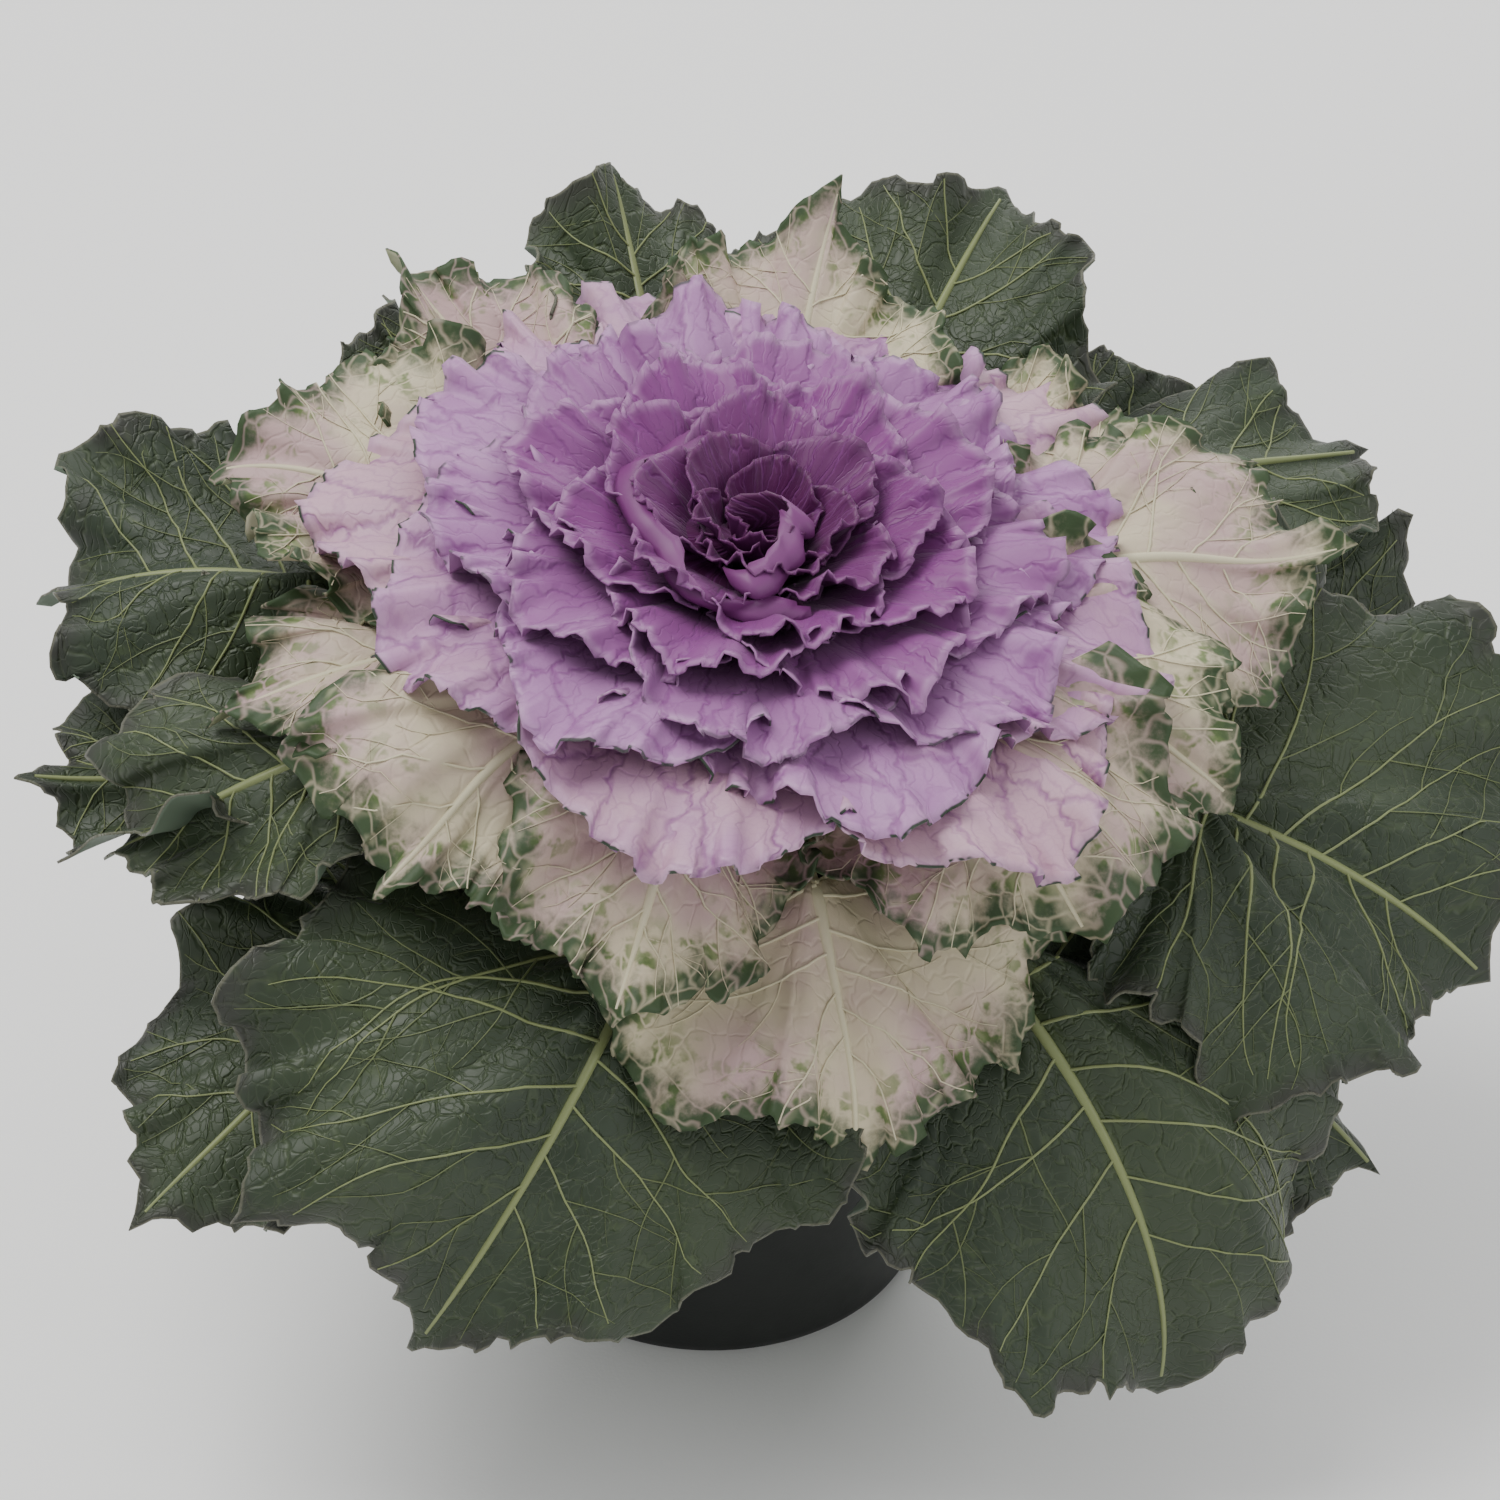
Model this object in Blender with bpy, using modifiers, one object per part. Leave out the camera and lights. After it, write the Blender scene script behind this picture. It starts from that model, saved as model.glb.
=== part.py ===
"""Ornamental kale in a round nursery pot: pot, potting mix, stem, loose leaves and rosette.

Metres, +Z up. The origin is the middle of the pot's underside, and the side that is
looked at most faces -Y. Every leaf is a sheet drawn in its own flat plane, as a fan
about the point where the blade meets its stalk. The sheet is bent round the stem,
ruffled along its margin, and thickened.
"""

import math
from typing import NamedTuple

import bmesh
import bpy
import numpy as np
from mathutils import Vector
from mathutils.bvhtree import BVHTree

GAP = 0.0003

# Nursery pot
POT_HEIGHT = 0.165
POT_TOP_RADIUS = 0.0825
POT_FOOT_RADIUS = 0.065
POT_WALL = 0.0018
RIM_DEPTH = 0.016
RIM_LIP = 0.0028
DRAIN_HOLES = 6
DRAIN_RADIUS = 0.006
DRAIN_CIRCLE = 0.046
TURNED_STEPS = 36

# Potting mix
SOIL_LEVEL = 0.150
SOIL_CRUMB = 0.0022

# Stem and the leaning crown on it
STEM_RADIUS = 0.012
STEM_HEIGHT = 0.063
STEM_SUNK = 0.030
LEAN = Vector((0.0156, -0.0210, 0.1180)).normalized()
CORE_TOP = 0.116
CORE_TOP_RADIUS = 0.0035
CORE_RADIUS = 0.014

# Leaf sheets
BLADE_THICKNESS = 0.0009
STALK_THICKNESS = 0.0052
STALK_HALF_WIDTH = 0.0034
STALK_STOPS = 4
WIDEST_TURN = 150
BACK_LOBES = 0.22
UPWARD = 0.5
ROOT_RING = 0.0015
ROOT_SUNK = 0.0025
SMALL_LEAF = 0.06
GOLDEN_ANGLE = 137.508

# How a leaf is laid over what is below it
PROBE = 0.022
PROBE_IN_HEAD = 0.10
NUDGE = 0.0012
CLEARANCE = 0.0008
EASE = 0.72
EASE_STEPS = 4
SETTLE_PASSES = 16
FUSED_PASSES = 3
INSIDE_FACE = [(i / 6, j / 6, (6 - i - j) / 6) for i in range(1, 5) for j in range(1, 6 - i)]


class Kind(NamedTuple):
    """What leaves of one colour share. Every second column of the fan is a lobe's tip, and a
    ring of points goes through each column, or through every second or fourth one.
    """

    colour: tuple
    columns: int
    rings: tuple
    wave: float
    ruffle: float
    lobe: float


class Leaf(NamedTuple):
    """One leaf. Azimuth 0 is +X and -90 faces the viewer; angles are in degrees.

    rise and fall are the slopes of the midrib at its foot and at its tip, sweep turns
    the tip sideways, roll lifts the left side, and cup lifts both sides of the blade.
    """

    name: str
    kind: str
    azimuth: float
    foot: float
    reach: float
    stalk: float
    width: float
    rise: float
    fall: float
    sweep: float = 0.0
    roll: float = 0.0
    cup: float = 0.0
    root: float = STEM_RADIUS + GAP
    fan: float = 0.0
    seed: int = 1


KINDS = {
    "green": Kind((0.045, 0.085, 0.040), 18, (1, 1, 1, 1), 0.066, 0.0085, 0.055),
    "cream": Kind((0.62, 0.55, 0.42), 14, (1, 1, 1, 1), 0.056, 0.0065, 0.060),
    "rosette": Kind((0.36, 0.12, 0.36), 8, (4, 2, 1), 0.040, 0.0034, 0.045),
}

LEAVES = [
    Leaf("leaf_right", "green", -13, 0.037, 0.212, 0.112, 0.150, 18, -36, roll=33, seed=3),
    Leaf("leaf_front_right", "green", -47, 0.024, 0.197, 0.082, 0.138, 14, -70, seed=4),
    Leaf("leaf_front_left", "green", -103, 0.030, 0.176, 0.070, 0.165, 14, -66, sweep=-10, roll=-14, seed=5),
    Leaf("leaf_low_left", "green", -137, 0.010, 0.192, 0.090, 0.112, 10, -34, seed=6),
    Leaf("leaf_middle_left", "green", -152, 0.034, 0.136, 0.080, 0.068, 16, -50, sweep=-8, seed=7),
    Leaf("leaf_left", "green", -170, 0.018, 0.186, 0.115, 0.085, 16, -16, cup=0.5, seed=8),
    Leaf("leaf_left_upper", "green", 172, 0.028, 0.180, 0.095, 0.100, 16, -24, roll=-25, seed=9),
    Leaf("leaf_left_back", "green", 152, 0.009, 0.186, 0.100, 0.085, 20, -6, sweep=8, seed=10),
    Leaf("leaf_back_left", "green", 127, 0.020, 0.166, 0.095, 0.085, 22, 6, seed=11),
    Leaf("leaf_back", "green", 106, 0.031, 0.164, 0.098, 0.075, 36, 20, seed=12),
    Leaf("leaf_back_right", "green", 66, 0.030, 0.184, 0.092, 0.118, 38, 16, seed=13),
    Leaf("leaf_right_upper", "green", 45, 0.012, 0.192, 0.110, 0.085, 26, 4, seed=14),
    Leaf("leaf_right_back", "green", 30, 0.022, 0.202, 0.108, 0.100, 22, 0, seed=15),
    Leaf("leaf_right_middle", "green", 15, 0.014, 0.214, 0.115, 0.100, 20, -12, seed=16),
    Leaf("leaf_right_lower", "green", 2, 0.026, 0.212, 0.125, 0.080, 12, -16, seed=17),
    Leaf("leaf_low_right", "green", -24, 0.010, 0.202, 0.110, 0.105, 8, -32, seed=18),
    Leaf("variegated_front", "cream", -74, 0.041, 0.122, 0.055, 0.128, 20, -58, seed=21),
    Leaf("variegated_right", "cream", 8, 0.044, 0.152, 0.076, 0.095, 32, -10, roll=8, seed=22),
    Leaf("variegated_right_back", "cream", 32, 0.038, 0.144, 0.068, 0.095, 38, 12, seed=23),
    Leaf("variegated_back", "cream", 82, 0.044, 0.140, 0.066, 0.100, 50, 20, seed=24),
    Leaf("variegated_left_back", "cream", 136, 0.040, 0.146, 0.072, 0.080, 36, 10, seed=25),
    Leaf("variegated_left", "cream", 165, 0.045, 0.142, 0.070, 0.100, 32, -6, seed=26),
    Leaf("variegated_left_low", "cream", -163, 0.043, 0.112, 0.052, 0.082, 28, -36, seed=27),
    Leaf("variegated_front_left", "cream", -134, 0.046, 0.104, 0.046, 0.080, 28, -44, seed=28),
    Leaf("variegated_front_middle", "cream", -104, 0.047, 0.094, 0.044, 0.074, 26, -50, seed=29),
    Leaf("variegated_front_right", "cream", -46, 0.047, 0.100, 0.046, 0.080, 28, -42, seed=30),
    Leaf("variegated_right_low", "cream", -20, 0.045, 0.116, 0.052, 0.082, 30, -26, seed=31),
]

ROSETTE_LEAVES = 29
HEART_HEIGHT = 0.128
ROSETTE_DROP = 0.018
ROSETTE_RADIUS = 0.108
HEART_LEAF = 0.022
HEART_RADIUS = 0.006
OUTER_FOOT = 0.067
ARCH = 34
FAN_AT_HEART = 56
FAN_AT_EDGE = 46


def rosette_leaves():
    """The head's leaves from the heart outwards, a golden angle apart, ever longer and flatter."""
    leaves = []
    for number in range(ROSETTE_LEAVES):
        age = number / (ROSETTE_LEAVES - 1)
        foot = OUTER_FOOT + (HEART_HEIGHT - HEART_LEAF - OUTER_FOOT) * (1 - age)
        core = CORE_RADIUS - (CORE_RADIUS - CORE_TOP_RADIUS) * (foot - STEM_HEIGHT) / (CORE_TOP - STEM_HEIGHT)
        root = core - ROOT_SUNK
        radius = HEART_RADIUS + (ROSETTE_RADIUS - HEART_RADIUS) * age**0.85 - root
        height = HEART_HEIGHT - ROSETTE_DROP * age**1.5 - foot
        slope = math.degrees(math.atan2(height, radius))
        arch = ARCH * age**0.6
        leaves.append(
            Leaf(
                name=f"rosette_{number:02d}",
                kind="rosette",
                azimuth=number * GOLDEN_ANGLE - 100,
                foot=foot,
                reach=math.hypot(height, radius) * (1 + 0.08 * age),
                stalk=0.0,
                width=0.0,
                rise=slope + arch,
                fall=slope - arch,
                root=root,
                fan=FAN_AT_HEART + (FAN_AT_EDGE - FAN_AT_HEART) * age,
                seed=100 + number,
            )
        )
    return leaves


def clear_scene():
    for thing in list(bpy.data.objects):
        bpy.data.objects.remove(thing)


def collection(name):
    made = bpy.data.collections.new(name)
    bpy.context.scene.collection.children.link(made)
    return made


def material(name, colour, roughness):
    """A Principled material in one colour."""
    made = bpy.data.materials.new(name)
    made.use_nodes = True
    shader = made.node_tree.nodes["Principled BSDF"]
    shader.inputs["Base Color"].default_value = (*colour, 1.0)
    shader.inputs["Roughness"].default_value = roughness
    shader.inputs["Metallic"].default_value = 0.0
    made.diffuse_color = (*colour, 1.0)
    return made


def add_object(name, mesh, group, finish):
    made = bpy.data.objects.new(name, mesh)
    group.objects.link(made)
    if finish is not None:
        mesh.materials.append(finish)
    return made


def turned(name, profile, group, finish):
    """A closed turned body from a profile of (radius, height) that starts and ends on the axis."""
    mesh = bpy.data.meshes.new(name)
    points = [(radius, 0.0, height) for radius, height in profile]
    edges = [(i, i + 1) for i in range(len(points) - 1)]
    mesh.from_pydata(points, edges, [])
    made = add_object(name, mesh, group, finish)
    screw = made.modifiers.new("Turn", "SCREW")
    screw.steps = TURNED_STEPS
    screw.render_steps = TURNED_STEPS
    screw.use_merge_vertices = True
    screw.merge_threshold = 0.00005
    return made


def baked(thing):
    """The object's mesh with its modifiers applied."""
    bpy.context.view_layer.update()
    graph = bpy.context.evaluated_depsgraph_get()
    mesh = bpy.data.meshes.new_from_object(thing.evaluated_get(graph))
    thing.modifiers.clear()
    thing.data = mesh
    return thing


def boolean(thing, other, operation, solver="EXACT"):
    """One Boolean with an object or with all the objects of a collection."""
    step = thing.modifiers.new(operation.title(), "BOOLEAN")
    step.operation = operation
    step.solver = solver
    if isinstance(other, bpy.types.Collection):
        step.operand_type = "COLLECTION"
        step.collection = other
    else:
        step.object = other
    return step


def wall_radius(height):
    """The outside of the pot's tapered wall at a height."""
    return POT_FOOT_RADIUS + (POT_TOP_RADIUS - POT_FOOT_RADIUS) * height / POT_HEIGHT


def make_pot(group, cutters, finish):
    """A thin moulded pot with a stepped rim and drain holes near the edge of its floor."""
    step = POT_HEIGHT - RIM_DEPTH
    lip = wall_radius(step) + RIM_LIP
    pot = turned(
        "pot",
        [
            (0.0, POT_WALL),
            (wall_radius(0.0) - 2 * POT_WALL, POT_WALL),
            (wall_radius(step) - POT_WALL, step),
            (lip - POT_WALL, step + RIM_LIP),
            (lip + RIM_LIP / 2 - POT_WALL, POT_HEIGHT),
            (lip + RIM_LIP / 2, POT_HEIGHT),
            (lip, step),
            (wall_radius(step), step - POT_WALL),
            (wall_radius(0.0), 2 * POT_WALL),
            (wall_radius(0.0) - POT_WALL, 0.0),
            (0.0, 0.0),
        ],
        group,
        finish,
    )
    for number in range(DRAIN_HOLES):
        angle = math.tau * number / DRAIN_HOLES
        bpy.ops.mesh.primitive_cylinder_add(
            vertices=12,
            radius=DRAIN_RADIUS,
            depth=4 * POT_WALL,
            location=(DRAIN_CIRCLE * math.cos(angle), DRAIN_CIRCLE * math.sin(angle), POT_WALL / 2),
        )
        cutter = bpy.context.object
        cutter.name = f"drain_cutter_{number}"
        as_cutter(cutter, cutters)
        boolean(pot, cutter, "DIFFERENCE")
    return pot


def as_cutter(thing, cutters):
    for group in list(thing.users_collection):
        group.objects.unlink(thing)
    cutters.objects.link(thing)
    thing.hide_render = True
    thing.display_type = "WIRE"


def lean_object(thing):
    """Puts an upright object on the leaning crown's axis, its origin at the soil's level."""
    thing.rotation_mode = "QUATERNION"
    thing.rotation_quaternion = Vector((0, 0, 1)).rotation_difference(LEAN)
    thing.location = (0, 0, SOIL_LEVEL)


def make_soil(group, cutters, finish):
    """Potting mix that fills the pot, with a crumbly mound and a plain hole for the stem."""
    floor = POT_WALL + GAP
    rim = wall_radius(SOIL_LEVEL) - 2 * POT_WALL - GAP
    rings = 7
    top = [(rim * ring / rings, SOIL_LEVEL) for ring in range(rings + 1)]
    foot = wall_radius(floor) - 3 * POT_WALL
    soil = turned("potting_mix", [*top, (foot, floor), (0.0, floor)], group, finish)
    baked(soil)
    for vertex in soil.data.vertices:
        if vertex.co.z > SOIL_LEVEL - GAP:
            radius = math.hypot(vertex.co.x, vertex.co.y)
            share = 1 - radius / rim
            crumbs = math.sin(310 * vertex.co.x + 1.3) * math.sin(270 * vertex.co.y + 0.4)
            crumbs += 0.6 * math.sin(520 * vertex.co.x - 460 * vertex.co.y)
            vertex.co.z += 0.006 * share + SOIL_CRUMB * crumbs * min(1.0, 4 * share)
    bpy.ops.mesh.primitive_cylinder_add(
        vertices=20, radius=STEM_RADIUS + 2 * GAP, depth=2 * (STEM_SUNK + GAP), location=(0, 0, 0)
    )
    hole = bpy.context.object
    hole.name = "stem_hole_cutter"
    lean_object(hole)
    as_cutter(hole, cutters)
    boolean(soil, hole, "DIFFERENCE")
    return soil


def make_stem(group, finish):
    """The stout stalk, from inside the mix up to the head."""
    bpy.ops.mesh.primitive_cylinder_add(
        vertices=20, radius=STEM_RADIUS, depth=STEM_HEIGHT + STEM_SUNK, location=(0, 0, 0)
    )
    stem = bpy.context.object
    stem.name = "stem"
    middle = (STEM_HEIGHT - STEM_SUNK) / 2
    for vertex in stem.data.vertices:
        vertex.co.z += middle
    lean_object(stem)
    for owner in list(stem.users_collection):
        owner.objects.unlink(stem)
    group.objects.link(stem)
    stem.data.materials.append(finish)
    return stem


def margin_distance(leaf, turn):
    """How far the blade's margin is from the blade's foot, at a turn off the midrib."""
    length = leaf.reach - leaf.stalk
    if leaf.fan:
        return length * np.cos(turn * math.radians(90) / math.radians(leaf.fan)) ** 0.25
    half_length = length / 2 * (1 + BACK_LOBES)
    centre = length - half_length
    along, across = np.cos(turn), np.sin(turn)
    square = (along / half_length) ** 2 + (across / (leaf.width / 2)) ** 2
    linear = -2 * along * centre / half_length**2
    rest = (centre / half_length) ** 2 - 1
    return (-linear + np.sqrt(linear**2 - 4 * square * rest)) / (2 * square)


def margin(leaf, columns):
    """Turns off the midrib and places along the margin of its evenly spaced points."""
    widest = math.radians(0.955 * leaf.fan if leaf.fan else WIDEST_TURN)
    turn = np.linspace(-widest, widest, 721)
    distance = margin_distance(leaf, turn)
    step = np.hypot(np.diff(distance * np.cos(turn)), np.diff(distance * np.sin(turn)))
    run = np.concatenate([[0], np.cumsum(step)])
    even = np.linspace(0, run[-1], columns + 1)
    return np.interp(even, run, turn), even - run[-1] / 2


def wander(run, pitch, seed):
    """A slow random drift along the margin that keeps ruffles and lobes uneven."""
    phases = np.random.default_rng(seed).uniform(0, math.tau, 3)
    ratios = (2.9, 1.7, 1.13)
    return sum(np.sin(math.tau * run / (pitch * r) + f) for r, f in zip(ratios, phases)) / 2


def ruffle(leaf, run, inset):
    """Height of the blade's waves, greatest at the margin and mostly upwards."""
    kind = KINDS[leaf.kind]
    size = min(1.0, leaf.reach / 0.10) if leaf.fan else 1.0
    wave = kind.wave * size
    start = np.random.default_rng(leaf.seed).uniform(0, math.tau)
    phase = math.tau * run / wave + start + wander(run, wave, leaf.seed * 7)
    swell = 1 + 0.35 * wander(run, 1.7 * wave, leaf.seed * 11)
    return kind.ruffle * size * swell * (UPWARD + np.sin(phase)) * np.exp(-inset / (0.55 * wave))


def bend(leaf, x, y, lift):
    """Takes points of the leaf's flat plane, x out from the stem and y across, to their place."""
    steps = np.linspace(-0.02, leaf.reach * 1.15, 90)
    share = np.clip(steps / leaf.reach, 0, 1.15)
    slopes = np.radians(leaf.rise + (leaf.fall - leaf.rise) * share)
    pace = (steps[1] - steps[0]) / 2
    out = np.concatenate([[0], np.cumsum(np.cos(slopes[1:]) + np.cos(slopes[:-1]))]) * pace
    high = np.concatenate([[0], np.cumsum(np.sin(slopes[1:]) + np.sin(slopes[:-1]))]) * pace
    radius = leaf.root + np.interp(x, steps, out) - np.interp(0, steps, out)
    height = leaf.foot + np.interp(x, steps, high) - np.interp(0, steps, high)
    slope = np.interp(x, steps, slopes)
    curve = 1.15 * np.maximum(radius, 0.006) if leaf.fan else 1.4 * np.maximum(radius, 0.03)
    turn = y / curve
    side = y * math.tan(math.radians(leaf.roll))
    if leaf.cup:
        side = side + leaf.cup * y**2 / (leaf.width / 2)
    lift = lift + side * np.clip((x - leaf.stalk * 0.7) / (leaf.reach * 0.2), 0, 1)
    back = lift * np.sin(slope) * np.clip(x / STEM_RADIUS, 0, 1)
    outward = radius - curve * (1 - np.cos(turn)) - back * np.cos(turn)
    sideways = (curve - back) * np.sin(turn)
    upward = height + lift * np.cos(slope)
    azimuth = np.radians(leaf.azimuth + leaf.sweep * np.clip(x / leaf.reach, 0, 1.2) ** 2)
    east, north = (np.array(side_of_lean) for side_of_lean in across_lean())
    radial = np.outer(np.cos(azimuth), east) + np.outer(np.sin(azimuth), north)
    tangent = np.outer(np.cos(azimuth), north) - np.outer(np.sin(azimuth), east)
    place = np.array((0, 0, SOIL_LEVEL)) + np.outer(upward, np.array(LEAN))
    return place + outward[:, None] * radial + sideways[:, None] * tangent


def across_lean():
    """Two directions square to the leaning stem: to the right, and to the back."""
    east = (Vector((1, 0, 0)) - LEAN * LEAN.x).normalized()
    return east, LEAN.cross(east)


class Sheet(NamedTuple):
    """A leaf's flat plan: places, ruffle height and thickness of its points, and its triangles."""

    x: np.ndarray
    y: np.ndarray
    lift: np.ndarray
    thickness: np.ndarray
    faces: list


def blade_grid(leaf):
    """The blade: rings of points from its foot to its margin, every second one on a lobe."""
    kind = KINDS[leaf.kind]
    columns = kind.columns
    turn, run = margin(leaf, columns)
    lobes = kind.lobe * np.cos(math.pi * (np.arange(columns + 1) - columns // 2))
    tip = margin_distance(leaf, turn) * (1 + lobes + kind.lobe * wander(run, kind.wave, leaf.seed * 5))
    inner = ROOT_RING if leaf.fan else STALK_HALF_WIDTH / math.sin(math.radians(180 - WIDEST_TURN))
    shares = np.linspace(0, 1, len(kind.rings)) ** 0.8
    x, y, lift, thickness, faces = [], [], [], [], []
    first, last = 0, 0
    for ring, (every, share) in enumerate(zip(kind.rings, shares)):
        ray = (inner + (tip - inner) * share)[::every]
        x.append(leaf.stalk + ray * np.cos(turn[::every]))
        y.append(ray * np.sin(turn[::every]))
        lift.append(ruffle(leaf, run[::every], tip[::every] - ray) * share)
        thickness.append(np.full(len(ray), BLADE_THICKNESS))
        if not leaf.fan:
            thickness[-1][len(ray) // 2] = STALK_THICKNESS * (0.8 - 0.62 * share)
        if ring:
            faces += ring_faces(last, first, kind.rings[ring - 1] // every, len(ray) - 1, ring)
        last, first = first, first + len(ray)
    return Sheet(*(np.concatenate(part) for part in (x, y, lift, thickness)), faces)


def ring_faces(inside, outside, ratio, columns, ring):
    """Triangles between a ring and the next one out, which has as many or twice as many points."""
    faces = []
    if ratio == 2:
        for a, b in zip(range(inside, inside + columns // 2), range(outside, outside + columns, 2)):
            faces += [(a, b, b + 1), (a, b + 1, a + 1), (a + 1, b + 1, b + 2)]
        return faces
    for a, b in zip(range(inside, inside + columns), range(outside, outside + columns)):
        faces += [(a, b, b + 1), (a, b + 1, a + 1)] if (a + ring) % 2 else [(a, b, a + 1), (b, b + 1, a + 1)]
    return faces


def with_stalk(leaf, blade):
    """The blade with the three lines of points of its stalk, and the web between the two."""
    columns = KINDS[leaf.kind].columns
    stops = np.arange(STALK_STOPS) / STALK_STOPS
    back = STALK_HALF_WIDTH / math.tan(math.radians(180 - WIDEST_TURN))
    across = np.array([-1, 0, 1]) * STALK_HALF_WIDTH
    x = np.append(np.repeat((leaf.stalk - back) * stops, 3), leaf.stalk)
    y = np.append(np.outer(1.25 - 0.25 * stops, across).ravel(), 0)
    thickness = np.outer(1.2 - 0.2 * stops, STALK_THICKNESS * np.array([0.55, 1.0, 0.55])).ravel()
    first = len(blade.x)
    middle = first + 3 * STALK_STOPS
    last = middle - 3
    faces = [(middle, column, column + 1) for column in range(columns)]
    for a in range(first, last, 3):
        faces += [(a, a + 3, a + 1), (a + 1, a + 3, a + 4), (a + 1, a + 4, a + 5), (a + 1, a + 5, a + 2)]
    faces += [(last, 0, last + 1), (last + 1, 0, middle)]
    faces += [(last + 1, middle, columns), (last + 1, columns, last + 2)]
    return Sheet(
        np.append(blade.x, x),
        np.append(blade.y, y),
        np.append(blade.lift, np.zeros(len(x))),
        np.concatenate([blade.thickness, thickness, [STALK_THICKNESS * 0.9]]),
        blade.faces + faces,
    )


def settle(leaf, sheet, placed, fused):
    """How far each point is raised to lie clear of what is placed, and on top of what is fused."""
    raised = np.zeros(len(sheet.x))
    edges = {tuple(sorted((face[i], face[i - 1]))) for face in sheet.faces for i in range(3)}
    first, second = (np.array(ends) for ends in zip(*sorted(edges)))
    probes = [([point], [1.0]) for point in range(len(raised))]
    probes += [(list(edge), [near, 1 - near]) for edge in sorted(edges) for near in (0.25, 0.5, 0.75)]
    probes += [(list(face), near) for face in sheet.faces for near in INSIDE_FACE]
    probe = PROBE_IN_HEAD * leaf.reach if leaf.fan else PROBE
    for number in range(SETTLE_PASSES):
        points = bend(leaf, sheet.x, sheet.y, sheet.lift + raised)
        above = bend(leaf, sheet.x, sheet.y, sheet.lift + raised + probe)
        below = points - (above - points) / probe * sheet.thickness[:, None]
        need = np.zeros(len(raised))
        for side in (points, below):
            skin = BVHTree.FromPolygons([Vector(point) for point in side], sheet.faces)
            for tree in placed:
                for face, _ in skin.overlap(tree):
                    need[list(sheet.faces[face])] = NUDGE
        for corners, near in probes:
            start = Vector(near @ above[corners])
            down = Vector(near @ points[corners]) - start
            reach = down.length + sheet.thickness[corners].max() + CLEARANCE
            for tree in placed + (fused if number < FUSED_PASSES else []):
                distance = tree.ray_cast(start, down.normalized(), reach)[3]
                if distance is not None:
                    need[corners] = np.maximum(need[corners], reach - distance)
        if need.max() == 0:
            break
        for _ in range(EASE_STEPS):
            spread = need.copy()
            np.maximum.at(spread, first, EASE * need[second])
            np.maximum.at(spread, second, EASE * need[first])
            need = spread
        raised += need
    return raised


def leaf_object(leaf, group, finish, placed, fused=()):
    """A leaf laid over what is placed, thickened below, and thickest along stalk and midrib."""
    sheet = blade_grid(leaf)
    if leaf.stalk:
        sheet = with_stalk(leaf, sheet)
    raised = settle(leaf, sheet, placed, list(fused))
    points = bend(leaf, sheet.x, sheet.y, sheet.lift + raised)
    mesh = bpy.data.meshes.new(leaf.name)
    mesh.from_pydata([tuple(point) for point in points], [], sheet.faces)
    made = add_object(leaf.name, mesh, group, finish)
    weights = made.vertex_groups.new(name="thickness")
    thickest = sheet.thickness.max()
    for number, value in enumerate(sheet.thickness):
        weights.add([number], float(value / thickest), "REPLACE")
    shell = made.modifiers.new("Thickness", "SOLIDIFY")
    shell.thickness = thickest
    shell.offset = -1.0
    shell.vertex_group = weights.name
    return baked(made)


def tree_of(thing):
    """A search tree of a finished object's faces, in world space."""
    bpy.context.view_layer.update()
    mesh = thing.evaluated_get(bpy.context.evaluated_depsgraph_get()).to_mesh()
    points = [thing.matrix_world @ vertex.co for vertex in mesh.vertices]
    return BVHTree.FromPolygons(points, [tuple(face.vertices) for face in mesh.polygons])


def make_head(group, blades, finish, placed):
    """The coloured head: a slim core with the rosette's leaves fused to it, outermost first."""
    low = STEM_HEIGHT + GAP
    core = turned(
        "rosette_head",
        [(0.0, CORE_TOP), (CORE_TOP_RADIUS, CORE_TOP), (CORE_RADIUS, low), (0.0, low)],
        group,
        finish,
    )
    baked(core)
    lean_object(core)
    fused = []
    for leaf in reversed(rosette_leaves()):
        made = leaf_object(leaf, blades, finish, placed, fused)
        if leaf.reach > SMALL_LEAF:
            fused.append(tree_of(made))
    boolean(core, blades, "UNION", "MANIFOLD")
    baked(core)
    for blade in list(blades.objects):
        bpy.data.objects.remove(blade)
    keep_outer_skin(core)
    return core


def keep_outer_skin(thing):
    """Fills the small hollows that fusing leaves have sealed, and drops loose scraps."""
    skin = bmesh.new()
    skin.from_mesh(thing.data)
    waiting = set(skin.verts)
    bodies = []
    while waiting:
        body = {waiting.pop()}
        edge = list(body)
        while edge:
            vertex = edge.pop()
            for link in vertex.link_edges:
                other = link.other_vert(vertex)
                if other not in body:
                    body.add(other)
                    edge.append(other)
        waiting -= body
        bodies.append(body)
    bodies.sort(key=len)
    for body in bodies[:-1]:
        bmesh.ops.delete(skin, geom=list(body), context="VERTS")
    skin.to_mesh(thing.data)
    skin.free()


def main():
    clear_scene()
    kale = collection("ornamental_kale")
    cutters = collection("cutters")
    blades = collection("rosette_blades")
    plastic = material("black_plastic", (0.012, 0.014, 0.013), 0.45)
    earth = material("potting_mix", (0.030, 0.020, 0.013), 0.95)
    skin = material("stem_skin", (0.16, 0.18, 0.11), 0.7)
    finishes = {name: material(f"{name}_leaf", kind.colour, 0.6) for name, kind in KINDS.items()}
    pot = make_pot(kale, cutters, plastic)
    soil = make_soil(kale, cutters, earth)
    make_stem(kale, skin)
    placed = [tree_of(pot), tree_of(soil)]
    for leaf in sorted(LEAVES, key=lambda leaf: leaf.foot):
        placed.append(tree_of(leaf_object(leaf, kale, finishes[leaf.kind], placed)))
    make_head(kale, blades, finishes["rosette"], placed)


main()
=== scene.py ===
import math
from typing import NamedTuple

import bpy
import numpy as np
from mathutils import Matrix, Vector
from mathutils.bvhtree import BVHTree
from mathutils.kdtree import KDTree


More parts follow.
